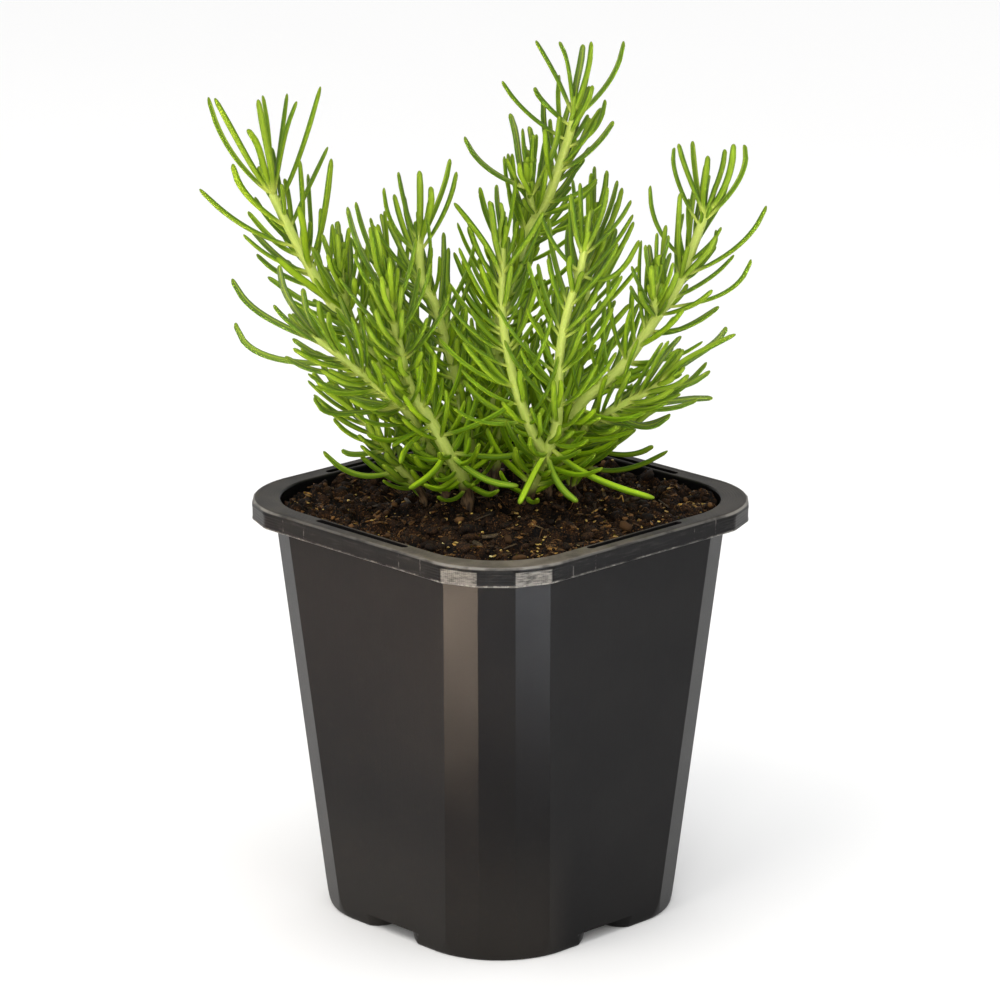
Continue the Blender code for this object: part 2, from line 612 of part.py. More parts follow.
def grow_ruled(axis, number, space, owner, aimed, draw):
    """Grow crossed pairs of needles from the tip down, each bent clear of what is there."""
    grown = []
    shoot = axis.shoot
    distance = axis.length - 0.001
    turn = shoot.phase
    while distance > shoot.bare:
        for half_turn in (0.0, 180.0):
            wobble = draw.uniform(-WOBBLE, WOBBLE)
            size = draw.uniform(0.9, 1.06) * shoot.size
            lean = draw.uniform(0.88, 1.12)
            if faces_front(axis, distance, turn + half_turn):
                continue
            for more_turn, more_lean, more_size in TRIES:
                line = ruled_line(
                    axis, distance, turn + half_turn + wobble + more_turn, lean * more_lean, size * more_size
                )
                if place_taken(line, number, aimed):
                    break
                if space.has_room(line, owner):
                    space.grow(line, owner)
                    grown.append((number, line))
                    break
        distance -= read_profile(PITCH, axis.length - distance)
        turn += 90.0 + TWIST
    return grown


def grow_plant():
    """Grow every stem's needles, and give each stem's axes and needle lines."""
    space = Space()
    plant = {name: [Axis(shoot) for shoot in shoots] for name, shoots in STEMS.items()}
    for owner, axes in enumerate(plant.values()):
        for axis in axes:
            space.take(axis.line[::8], STEM_REACH, owner)
    needles = {name: [] for name in plant}
    for owner, (name, axes) in enumerate(plant.items()):
        for number, axis in enumerate(axes):
            needles[name] += grow_aimed(axis, number, space, owner)
    for owner, (name, axes) in enumerate(plant.items()):
        draw = random.Random(1000 + owner)
        aimed = list(needles[name])
        for number, axis in enumerate(axes):
            needles[name] += grow_ruled(axis, number, space, owner, aimed, draw)
    return plant, needles


def new_object(name, verts, faces):
    """Make a mesh object and link it to the scene."""
    mesh = bpy.data.meshes.new(name)
    mesh.from_pydata(verts, [], faces)
    mesh.validate()
    made = bpy.data.objects.new(name, mesh)
    bpy.context.scene.collection.objects.link(made)
    return made


def loft(name, rings, tip=None):
    """Make a closed solid through rings of equal count, capped at both ends or drawn to a tip."""
    count = len(rings[0])
    verts = [tuple(map(float, point)) for ring in rings for point in ring]
    faces = [tuple(reversed(range(count)))]
    for level in range(len(rings) - 1):
        for k in range(count):
            nxt = (k + 1) % count
            low, high = level * count, (level + 1) * count
            faces.append((low + k, low + nxt, high + nxt, high + k))
    last = (len(rings) - 1) * count
    if tip is None:
        faces.append(tuple(last + k for k in range(count)))
    else:
        verts.append(tuple(map(float, tip)))
        faces += [(last + k, last + (k + 1) % count, len(verts) - 1) for k in range(count)]
    return new_object(name, verts, faces)


def quarter_ring(quarter, height):
    """Turn one corner's points into all four corners at a height."""
    ring = []
    for corner in range(4):
        turn = math.radians(90.0 * corner)
        for x, y in quarter:
            across = x * math.cos(turn) - y * math.sin(turn)
            ring.append((across, x * math.sin(turn) + y * math.cos(turn), height))
    return ring


def wall_half(height):
    """Give the wall's outer half width at a height."""
    return WALL_FOOT_HALF + (WALL_TOP_HALF - WALL_FOOT_HALF) * height / POT_HEIGHT


def wall_ring(height, inset=0.0):
    """Give a ring of the wall: flat sides, and three flat facets at each corner."""
    centre = wall_half(height) - WALL_CORNER * math.cos(FACET_STEP)
    quarter = []
    for step in range(CORNER_STEPS + 1):
        radius = (WALL_CORNER - inset / math.cos(FACET_STEP)) * (math.cos(FACET_STEP) if step % 2 else 1.0)
        angle = FACET_STEP * (step + 1)
        quarter.append((centre + radius * math.cos(angle), centre + radius * math.sin(angle)))
    return quarter_ring(quarter, height)


def rim_ring(half, height, radius=None):
    """Give a ring of the rim: flat sides and round corners, of a given radius or round the rim's centres."""
    radius = half - RIM_HALF + RIM_CORNER if radius is None else radius
    centre = half - radius
    quarter = []
    for step in range(CORNER_STEPS + 1):
        angle = math.radians(90.0 * step / CORNER_STEPS)
        quarter.append((centre + radius * math.cos(angle), centre + radius * math.sin(angle)))
    return quarter_ring(quarter, height)


def hide_cutter(cutter):
    """Keep a cutter out of the finished model."""
    cutter.hide_render = True
    cutter.display_type = "WIRE"


def cut(target, cutter):
    """Cut a shape out of an object."""
    modifier = target.modifiers.new("Cut " + cutter.name, "BOOLEAN")
    modifier.operation = "DIFFERENCE"
    modifier.object = cutter
    hide_cutter(cutter)


def upright_prism(name, outline, low, high):
    """Make an upright prism over an outline that runs anticlockwise."""
    return loft(name, [[(x, y, low) for x, y in outline], [(x, y, high) for x, y in outline]])


def arc(centre_x, centre_y, radius, first, last, steps):
    """Give points on an arc, with its angles in degrees."""
    angles = [math.radians(first + (last - first) * k / steps) for k in range(steps + 1)]
    return [(centre_x + radius * math.cos(a), centre_y + radius * math.sin(a)) for a in angles]


def slot_cutter(side):
    """Make the cutter for the label slot on one side of the rim."""
    radius = 0.5 * SLOT_WIDTH
    reach = 0.5 * SLOT_LENGTH - radius
    outline = arc(reach, SLOT_PLACE, radius, -90.0, 90.0, SLOT_STEPS)
    outline += arc(-reach, SLOT_PLACE, radius, 90.0, 270.0, SLOT_STEPS)
    low = POT_HEIGHT - SLOT_DEPTH
    cutter = upright_prism("label_slot_cutter_%d" % side, outline, low, POT_HEIGHT + 0.002)
    cutter.rotation_euler = (0.0, 0.0, math.radians(90.0 * side))
    return cutter


def channel_cutter():
    """Make the cutter for the crossed drain channel, whose mouths flare to rounded feet."""
    mouth = wall_half(CHANNEL_HEIGHT)
    beyond = mouth + 0.004
    flare = CHANNEL_HALF + FOOT_CORNER
    quarter = [(beyond, flare)]
    quarter += arc(mouth - FOOT_CORNER, flare, FOOT_CORNER, 0.0, -90.0, FOOT_STEPS)
    quarter += arc(flare, flare, FOOT_CORNER, 270.0, 180.0, FOOT_STEPS)
    quarter += arc(flare, mouth - FOOT_CORNER, FOOT_CORNER, 180.0, 90.0, FOOT_STEPS)
    quarter += [(flare, beyond)]
    ring = quarter_ring(quarter, 0.0)
    return upright_prism("channel_cutter", [point[:2] for point in ring], -0.002, CHANNEL_HEIGHT)


def drain_cutter(number, x, y):
    """Make the cutter for one drain hole."""
    outline = arc(x, y, DRAIN_RADIUS, 0.0, 360.0, DRAIN_SIDES)[:-1]
    return upright_prism("drain_cutter_%d" % number, outline, -0.004, BASE_THICK + 0.004)


def build_pot():
    """Build the pot: walls, rolled rim with its skirt, slots, feet and drain holes."""
    under_rim = POT_HEIGHT - RIM_PLATE
    skirt_foot = POT_HEIGHT - SKIRT_HEIGHT
    inner_top = POT_HEIGHT - MOUTH_DEPTH
    rings = [
        wall_ring(0.0, BASE_ROUNDING),
        wall_ring(BASE_ROUNDING),
        wall_ring(under_rim),
        rim_ring(RIM_HALF - SKIRT_THICK, under_rim),
        rim_ring(RIM_HALF - SKIRT_THICK, skirt_foot),
        rim_ring(RIM_HALF - 0.0001, skirt_foot),
        rim_ring(RIM_HALF, POT_HEIGHT - RIM_ROUNDING),
        rim_ring(RIM_HALF - 0.3 * RIM_ROUNDING, POT_HEIGHT - 0.3 * RIM_ROUNDING),
        rim_ring(RIM_HALF - RIM_ROUNDING, POT_HEIGHT),
        rim_ring(MOUTH_HALF + MOUTH_ROUNDING, POT_HEIGHT, MOUTH_CORNER + MOUTH_ROUNDING),
        rim_ring(MOUTH_HALF, POT_HEIGHT - MOUTH_ROUNDING, MOUTH_CORNER),
        wall_ring(inner_top, WALL_THICK),
        wall_ring(BASE_THICK, WALL_THICK),
    ]
    pot = loft("pot", rings)
    for side in range(4):
        cut(pot, slot_cutter(side))
    cut(pot, channel_cutter())
    cut(pot, drain_cutter(0, 0.0, 0.0))
    for number in range(4):
        turn = math.radians(90.0 * number)
        cut(pot, drain_cutter(number + 1, DRAIN_PLACE * math.cos(turn), DRAIN_PLACE * math.sin(turn)))
    dress(pot, "pot_plastic", POT_COLOUR, 0.45)


def build_soil(plant):
    """Build the soil: a block that fills the pot, with a lumpy top and a plain hole for each stem."""
    floor = BASE_THICK + CLEARANCE
    inside = WALL_THICK + CLEARANCE
    edge = wall_ring(SOIL_EDGE, inside + SOIL_EDGE_SLACK)
    rings = [wall_ring(floor, inside), [(x, y, soil_height(x, y) - SOIL_EDGE_FALL) for x, y, _ in edge]]
    for share in SOIL_RINGS:
        rings.append([(x * share, y * share, soil_height(x * share, y * share)) for x, y, _ in edge])
    soil = loft("soil", rings, tip=(0.0, 0.0, soil_height(0.0, 0.0)))
    for name, axes in plant.items():
        x, y, _ = to_pot(axes[0].line[0])
        radius = (axes[0].radius(0.0) + CLEARANCE) / math.cos(math.pi / HOLE_SIDES) + 0.0001
        outline = arc(x, y, radius, 0.0, 360.0, HOLE_SIDES)[:-1]
        cut(soil, upright_prism("hole_cutter_" + name, outline, HOLE_FLOOR, SOIL_EDGE + 0.008))
    dress(soil, "soil_compost", SOIL_COLOUR, 0.95)


def stem_tube(name, axis, collection):
    """Make a shoot's stem as a tube that thins to its tip."""
    count = max(2, round(axis.length / STEM_RING_STEP))
    rings = []
    for k in range(count + 1):
        distance = axis.length * k / count
        point, along, side = axis.at(distance)
        radius = axis.radius(distance) * (STEM_TIP if k == count else 1.0)
        cross = np.cross(along, side)
        ring = []
        for corner in range(STEM_SIDES):
            angle = 2.0 * math.pi * corner / STEM_SIDES
            ring.append(to_pot(point + radius * (side * math.cos(angle) + cross * math.sin(angle))))
        rings.append(ring[::-1])
    tube = loft(name, rings)
    move_to(tube, collection)
    return tube


def needle_solid(name, line, along, collection):
    """Make one three-sided needle round its centre line, flat towards the stem's tip."""
    rings = []
    steps = len(line) - 1
    keel = -along
    for share, width in NEEDLE_RINGS:
        place = share * steps
        low = min(int(place), steps - 1)
        point = line[low] + (line[low + 1] - line[low]) * (place - low)
        ahead = unit(line[min(low + 1, steps)] - line[max(low - 1, 0)])
        keel = unit(keel - ahead * (keel @ ahead) + 1e-6 * UP)
        flat = np.cross(ahead, keel)
        half = 0.5 * NEEDLE_WIDTH * width
        depth = NEEDLE_DEPTH * width
        corners = (point + flat * half - keel * depth * 0.25, point + keel * depth * 0.75,
                   point - flat * half - keel * depth * 0.25)
        rings.append([to_pot(corner) for corner in corners])
    needle = loft(name, rings, tip=to_pot(line[-1]))
    move_to(needle, collection)
    return needle


def move_to(thing, collection):
    """Move an object from the scene's collection to another."""
    bpy.context.scene.collection.objects.unlink(thing)
    collection.objects.link(thing)


def keep_main_body(mesh):
    """Keep only the mesh's largest body, so a loose scrap or a sealed hollow goes."""
    shape = bmesh.new()
    shape.from_mesh(mesh)
    left = set(shape.verts)
    bodies = []
    while left:
        body = {left.pop()}
        edge = list(body)
        while edge:
            vert = edge.pop()
            for link in vert.link_edges:
                other = link.other_vert(vert)
                if other in left:
                    left.discard(other)
                    body.add(other)
                    edge.append(other)
        bodies.append(body)
    bodies.sort(key=len)
    for body in bodies[:-1]:
        bmesh.ops.delete(shape, geom=list(body), context="VERTS")
    shape.to_mesh(mesh)
    shape.free()


def join_stem(name, axes, needles):
    """Fuse a stem, its side shoots and its needles into one solid."""
    parts = bpy.data.collections.new(name + "_parts")
    bpy.context.scene.collection.children.link(parts)
    stem = stem_tube(name, axes[0], bpy.context.scene.collection)
    for number, axis in enumerate(axes[1:]):
        stem_tube("%s_shoot_%d" % (name, number + 1), axis, parts)
    for number, (shoot, line) in enumerate(needles):
        steps = np.linalg.norm(axes[shoot].line - line[0], axis=1)
        along = axes[shoot].along[int(np.argmin(steps))]
        needle_solid("%s_needle_%d" % (name, number + 1), line, along, parts)
    union = stem.modifiers.new("Join needles", "BOOLEAN")
    union.operation = "UNION"
    union.operand_type = "COLLECTION"
    union.collection = parts
    union.solver = "MANIFOLD"
    depsgraph = bpy.context.evaluated_depsgraph_get()
    joined = bpy.data.meshes.new_from_object(stem.evaluated_get(depsgraph))
    stem.modifiers.clear()
    stem.data = joined
    for thing in list(parts.objects):
        bpy.data.objects.remove(thing)
    bpy.data.collections.remove(parts)
    keep_main_body(joined)
    dress(stem, name + "_green", NEEDLE_COLOUR, 0.42)


def dress(thing, name, colour, roughness):
    """Give an object a material of its own."""
    material = bpy.data.materials.new(name)
    material.use_nodes = True
    shader = material.node_tree.nodes["Principled BSDF"]
    shader.inputs["Base Color"].default_value = colour
    shader.inputs["Roughness"].default_value = roughness
    thing.data.materials.clear()
    thing.data.materials.append(material)


def main():
    """Build the pot, the soil and the leafy stems."""
    for thing in list(bpy.data.objects):
        bpy.data.objects.remove(thing)
    plant, needles = grow_plant()
    build_pot()
    build_soil(plant)
    for name, axes in plant.items():
        join_stem("leafy_stem_" + name, axes, needles[name])


main()
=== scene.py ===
"""Dress the potted rosemary: a moulded nursery pot, loose compost, and stems clothed in needles.

Metres, +Z up, origin on the ground under the middle of the pot. Points of the plant are written as
(across, front, up): across to the right as the plant is seen over the pot's corner at -X -Y, front
towards that corner, and up from the ground.
"""
import logging
import math
import random
from dataclasses import dataclass
from enum import Enum
from typing import Callable, Iterable, Iterator, NamedTuple, Optional, Sequence

import bpy
import numpy as np
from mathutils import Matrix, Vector, noise


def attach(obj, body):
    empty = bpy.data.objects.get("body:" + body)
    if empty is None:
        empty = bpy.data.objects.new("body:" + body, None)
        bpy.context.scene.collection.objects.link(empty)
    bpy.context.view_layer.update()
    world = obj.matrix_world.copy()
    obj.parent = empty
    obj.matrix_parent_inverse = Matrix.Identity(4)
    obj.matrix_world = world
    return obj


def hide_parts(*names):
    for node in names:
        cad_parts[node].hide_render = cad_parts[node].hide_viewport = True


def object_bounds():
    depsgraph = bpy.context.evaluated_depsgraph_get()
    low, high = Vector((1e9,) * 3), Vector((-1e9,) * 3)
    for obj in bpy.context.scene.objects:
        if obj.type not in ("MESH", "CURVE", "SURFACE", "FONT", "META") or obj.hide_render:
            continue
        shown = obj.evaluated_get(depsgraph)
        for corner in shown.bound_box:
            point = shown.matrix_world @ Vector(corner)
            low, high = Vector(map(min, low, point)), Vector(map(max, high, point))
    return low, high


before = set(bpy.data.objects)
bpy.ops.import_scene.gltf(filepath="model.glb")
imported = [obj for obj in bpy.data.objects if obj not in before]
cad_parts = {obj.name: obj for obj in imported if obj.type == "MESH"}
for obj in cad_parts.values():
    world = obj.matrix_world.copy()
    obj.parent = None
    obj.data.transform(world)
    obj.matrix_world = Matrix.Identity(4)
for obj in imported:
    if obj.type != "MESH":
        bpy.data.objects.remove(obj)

CAD_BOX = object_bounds()
LOG = logging.getLogger("potted_rosemary")
Point = tuple[float, float, float]
Plane = tuple[float, float]

VIEW_TURN = math.radians(44.05)
VIEW_LIFT = math.radians(16.1)
MM = 0.001
RULE_SEED, FINE_SEED = 1000, 2000
UP = np.array((0.0, 0.0, 1.0))
VIEW_RAY = np.array((0.0, math.cos(VIEW_LIFT), math.sin(VIEW_LIFT)))


class Slot(Enum):
    """The material slots."""

    POT = "pot_plastic"
    COMPOST = "compost"
    LEAFY = "leafy_green"


def to_pot(point: Sequence[float]) -> Point:
    """Turn a point of the plant into the pot's own X, Y and Z.

    Args:
        point: (across, front, up), in metres.

    Returns:
        (x, y, z), in metres.
    """
    across, front, up = (float(value) for value in point)
    x = across * math.cos(VIEW_TURN) - front * math.sin(VIEW_TURN)
    y = -across * math.sin(VIEW_TURN) - front * math.cos(VIEW_TURN)
    return x, y, up


def unit(vector: np.ndarray) -> np.ndarray:
    """Give the vector at length one."""
    return vector / np.linalg.norm(vector)


def around(side: np.ndarray, over: np.ndarray, angle: float) -> np.ndarray:
    """Give the direction at an angle, from side towards over."""
    return side * math.cos(angle) + over * math.sin(angle)


def within(value: float, low: float = 0.0, high: float = 1.0) -> float:
    """Keep a value between two others."""
    return min(max(value, low), high)


def read_profile(profile: Sequence[Plane], place: float) -> float:
    """Read a profile of (place, value) rows, with rising places, at a place between them."""
    return float(np.interp(place, [row[0] for row in profile], [row[1] for row in profile]))


class MeshDraft:
    """Points, faces and per-point values gathered for one mesh."""

    def __init__(self, *values: str) -> None:
        """Start an empty draft with named per-point values."""
        self.points: list[Point] = []
        self.faces: list[tuple[int, ...]] = []
        self.values: dict[str, list[float]] = {name: [] for name in values}

    def ring(self, points: Iterable[Point], **values: Sequence[float]) -> int:
        """Add points with their values.

        Args:
            points: the points to add.
            **values: one sequence for each named value of the draft.

        Returns:
            The first new point's index.
        """
        first = len(self.points)
        self.points += [tuple(map(float, point)) for point in points]
        for name, numbers in values.items():
            self.values[name] += [float(number) for number in numbers]
        return first

    def bridge(self, low: int, high: int, count: int) -> None:
        """Join two rings of count points with quads."""
        for k in range(count):
            nxt = (k + 1) % count
            self.faces.append((low + k, low + nxt, high + nxt, high + k))

    def cap(self, first: int, count: int, flip: bool = False) -> None:
        """Close a ring with one face."""
        face = tuple(range(first, first + count))
        self.faces.append(face[::-1] if flip else face)

    def loft(self, firsts: Sequence[int], count: int) -> None:
        """Join rings of count points, one after the other, and close both ends.

        Args:
            firsts: the number of each ring's first point.
            count: how many points a ring has.
        """
        for low, high in zip(firsts, firsts[1:]):
            self.bridge(low, high, count)
        self.cap(firsts[0], count, flip=True)
        self.cap(firsts[-1], count)

    def build(self, name: str, smooth: bool = True) -> bpy.types.Object:
        """Make the draft an object.

        Args:
            name: the object's name.
            smooth: whether its faces are shaded smooth.

        Returns:
            The new object, linked to the scene.
        """
        mesh = bpy.data.meshes.new(name)
        mesh.from_pydata(self.points, [], self.faces)
        for value, numbers in self.values.items():
            layer = mesh.attributes.new(value, "FLOAT", "POINT")
            layer.data.foreach_set("value", numbers)
        mesh.update()
        if smooth:
            mesh.shade_smooth()
        made = bpy.data.objects.new(name, mesh)
        bpy.context.scene.collection.objects.link(made)
        return made


def dress(piece: bpy.types.Object, material: bpy.types.Material, slot: Slot, *nodes: str) -> None:
    """Give a piece its material and its body, and hide the nodes that it stands for.

    Args:
        piece: the object to dress.
        material: its finish.
        slot: the slot that the finish belongs to; not used.
        *nodes: the solids that the piece replaces, if any.
    """
    piece.data.materials.clear()
    piece.data.materials.append(material)
    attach(piece, "root")
    if nodes:
        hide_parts(*nodes)
    LOG.info("%s: %d faces", piece.name, len(piece.data.polygons))


class Signal:
    """A value inside a shader tree. Sums written with it add the nodes that work them out."""

    def __init__(self, nodes: "Nodes", socket: bpy.types.NodeSocket) -> None:
        """Stand for a node's output."""
        self.nodes = nodes
        self.socket = socket

    def __add__(self, other: object) -> "Signal":
        """Add a value."""
        return self.nodes.math("ADD", self, other)

    def __sub__(self, other: object) -> "Signal":
        """Take a value away."""
        return self.nodes.math("SUBTRACT", self, other)

    def __mul__(self, other: object) -> "Signal":
        """Multiply by a value."""
        return self.nodes.math("MULTIPLY", self, other)

    def __abs__(self) -> "Signal":
        """Drop the sign."""
        return self.nodes.math("ABSOLUTE", self)

    __radd__ = __add__
    __rmul__ = __mul__


class Nodes:
    """A shader tree with short ways to add and join its nodes."""

    def __init__(self, tree: bpy.types.NodeTree) -> None:
        """Work on a tree."""
        self.tree = tree

    def add(self, kind: str, inputs: Optional[dict] = None, **settings: object) -> bpy.types.Node:
        """Add a node.

        Args:
            kind: the node's type name.
            inputs: what each input, by its name or number, is set to or fed from.
            **settings: properties of the node.

        Returns:
            The new node.
        """
        node = self.tree.nodes.new(kind)
        for name, value in settings.items():
            setattr(node, name, value)
        for name, value in (inputs or {}).items():
            self.feed(node.inputs[name], value)
        return node

    def result(self, output: object, kind: str, inputs: Optional[dict] = None,
               **settings: object) -> Signal:
        """Add a node and give the signal from one of its outputs, by its name or number."""
        return Signal(self, self.add(kind, inputs, **settings).outputs[output])

    def feed(self, socket: bpy.types.NodeSocket, value: object) -> None:
        """Set a socket to a number, a vector or a colour, or link a signal to it.

        Args:
            socket: the input to set.
            value: what it gets.
        """
        if isinstance(value, Signal):
            self.tree.links.new(value.socket, socket)
        else:
            socket.default_value = value

    def math(self, operation: str, first: object, second: object = 0.0) -> Signal:
        """Work out one sum of two values."""
        return self.result(0, "ShaderNodeMath", {0: first, 1: second}, operation=operation)

    def greatest(self, first: Signal, *others: Signal) -> Signal:
        """Give the greatest of some values."""
        for other in others:
            first = self.math("MAXIMUM", first, other)
        return first

    def wave(self, value: Signal, length: float) -> Signal:
        """Give a sine wave of a length along a value."""
        return self.math("SINE", value * (math.tau / length))

    def mix(self, share: object, first: object, second: object) -> Signal:
        """Mix two colours by a share."""
        return self.result(2, "ShaderNodeMix", {"Factor": share, 6: first, 7: second}, data_type="RGBA")

    def step(self, value: object, low: float, high: float, start: float = 0.0, end: float = 1.0) -> Signal:
        """Ease from start to end as a value runs from low to high."""
        inputs = {"Value": value, "From Min": low, "From Max": high, "To Min": start, "To Max": end}
        return self.result("Result", "ShaderNodeMapRange", inputs, interpolation_type="SMOOTHSTEP")

    def noise(self, place: Signal, scale: object, detail: float = 3.0, rough: float = 0.5) -> Signal:
        """Add a noise texture and give its value."""
        inputs = {"Vector": place, "Scale": scale, "Detail": detail, "Roughness": rough}
        return self.result("Fac", "ShaderNodeTexNoise", inputs)

    def value(self, name: str) -> Signal:
        """Read a per-point value of the mesh."""
        return self.result("Fac", "ShaderNodeAttribute", attribute_name=name)

    def place(self) -> Signal:
        """Give the point's place in the object's own metres."""
        return self.result("Object", "ShaderNodeTexCoord")

    def split(self, place: Signal) -> list[Signal]:
        """Give a place's X, Y and Z."""
        node = self.add("ShaderNodeSeparateXYZ", {0: place})
        return [Signal(self, output) for output in node.outputs]

    def gather(self, x: object = 0.0, y: object = 0.0, z: object = 0.0) -> Signal:
        """Make a place of its X, Y and Z."""
        return self.result(0, "ShaderNodeCombineXYZ", {0: x, 1: y, 2: z})

    def bump(self, height: Signal, depth: object) -> Signal:
        """Turn a height into a bumped normal."""
        return self.result("Normal", "ShaderNodeBump", {"Height": height, "Distance": depth, "Strength": 1.0})


class Effect:
    """A shader node group for an effect that several materials share."""

    def __init__(self, name: str, inputs: dict[str, object], outputs: dict[str, str],
                 fill: Callable[[Nodes, dict[str, Signal]], Sequence[Signal]]) -> None:
        """Build the group.

        Args:
            name: the group's name.
            inputs: each input's name and its default, a number, a colour or a vector.
            outputs: each output's name and its socket type.
            fill: makes the group's nodes from its inputs, and gives what its outputs say.
        """
        self.group = bpy.data.node_groups.new(name, "ShaderNodeTree")
        for title, value in inputs.items():
            size = len(value) if isinstance(value, tuple) else 1
            kind = {1: "NodeSocketFloat", 3: "NodeSocketVector", 4: "NodeSocketColor"}[size]
            socket = self.group.interface.new_socket(title, in_out="INPUT", socket_type=kind)
            socket.default_value = value
        for title, kind in outputs.items():
            self.group.interface.new_socket(title, in_out="OUTPUT", socket_type=kind)
        nodes = Nodes(self.group)
        source, target = nodes.add("NodeGroupInput"), nodes.add("NodeGroupOutput")
        made = fill(nodes, {socket.name: Signal(nodes, socket) for socket in source.outputs})
        for title, signal in zip(outputs, made):
            nodes.feed(target.inputs[title], signal)

    def use(self, nodes: Nodes, **values: object) -> list[Signal]:
        """Place the effect among a material's nodes with its own values, and give its outputs."""
        node = nodes.add("ShaderNodeGroup", values, node_tree=self.group)
        return [Signal(nodes, output) for output in node.outputs]


def fill_mottle(nodes: Nodes, given: dict[str, Signal]) -> Sequence[Signal]:
    """Fill the mottle effect: slow and fine colour variation between three tones.

    Args:
        nodes: the group's nodes.
        given: its inputs by name.

    Returns:
        Its colour.
    """
    slow = nodes.noise(given["Place"], given["Scale"], 4.0)
    fine = nodes.noise(given["Place"], given["Scale"] * 7.3, 2.0)
    broad = nodes.mix(nodes.step(slow, 0.36, 0.64), given["Dark"], given["Middle"])
    return nodes.mix(nodes.step(fine, 0.52, 0.78) * given["Amount"], broad, given["Light"]), slow


def fill_grain(nodes: Nodes, given: dict[str, Signal]) -> Sequence[Signal]:
    """Fill the grain effect: fine relief as a bumped normal."""
    return (nodes.bump(nodes.noise(given["Place"], given["Scale"], 5.0), given["Depth"]),)


class Effects:
    """The effects that the finishes share."""

    def __init__(self) -> None:
        """Build each effect once."""
        origin, grey = (0.0, 0.0, 0.0), (0.5, 0.5, 0.5, 1.0)
        tones = {"Dark": grey, "Middle": grey, "Light": grey}
        self.mottle = Effect(
            "Mottle", {"Place": origin, "Scale": 100.0, **tones, "Amount": 1.0},
            {"Color": "NodeSocketColor", "Mask": "NodeSocketFloat"}, fill_mottle,
        )
        self.grain = Effect(
            "Grain", {"Place": origin, "Scale": 1000.0, "Depth": 0.0001},
            {"Normal": "NodeSocketVector"}, fill_grain,
        )


class Finish:
    """A material worked out from the place on a piece and the piece's own values."""

    title: str
    specular: float

    def make(self, effects: Effects) -> bpy.types.Material:
        """Build the material.

        Args:
            effects: the effects that materials share.

        Returns:
            The material.
        """
        material = bpy.data.materials.new(self.title)
        material.use_nodes = True
        nodes = Nodes(material.node_tree)
        shader = material.node_tree.nodes["Principled BSDF"]
        shader.inputs["Specular IOR Level"].default_value = self.specular
        for name, value in self.paint(nodes, effects).items():
            nodes.feed(shader.inputs[name], value)
        return material

    def paint(self, nodes: Nodes, effects: Effects) -> dict[str, object]:
        """Give what the shader's inputs are fed from.

        Args:
            nodes: the material's nodes.
            effects: the shared effects.

        Returns:
            A number or a signal for each input's name.
        """
        raise NotImplementedError


@dataclass(frozen=True)
class PotSizes:
    """The pot's own measures, in metres: its solid has the same."""

    height: float = 0.1163
    wall_top: float = 0.0506
    wall_foot: float = 0.0406
    wall_corner: float = 0.0251
    wall_thick: float = 0.0013
    rim_half: float = 0.055
    rim_corner: float = 0.0256
    rim_plate: float = 0.0013
    skirt_height: float = 0.0053
    skirt_thick: float = 0.0012
    mouth_half: float = 0.0489
    mouth_corner: float = 0.0231
    mouth_depth: float = 0.003
    base_thick: float = 0.0048
    slot_length: float = 0.035
    slot_width: float = 0.0022
    slot_place: float = 0.0509
    slot_depth: float = 0.003
    channel_half: float = 0.0045
    channel_height: float = 0.0034
    channel_turn: float = 0.0058
    foot_round: float = 0.0024
    drain_radius: float = 0.0035
    drain_place: float = 0.020

    def wall_half(self, height: float) -> float:
        """Give half the pot's width at a height."""
        return self.wall_foot + (self.wall_top - self.wall_foot) * height / self.height


POT = PotSizes()
FACET = math.radians(22.5)
SOIL_EDGE = 0.1112
SOIL_MOUND = 0.0016
SOIL_WAVES = ((0.0007, 410.0, 150.0, 0.4), (0.0006, -190.0, 470.0, 1.9), (0.0005, 640.0, -380.0, 4.1))


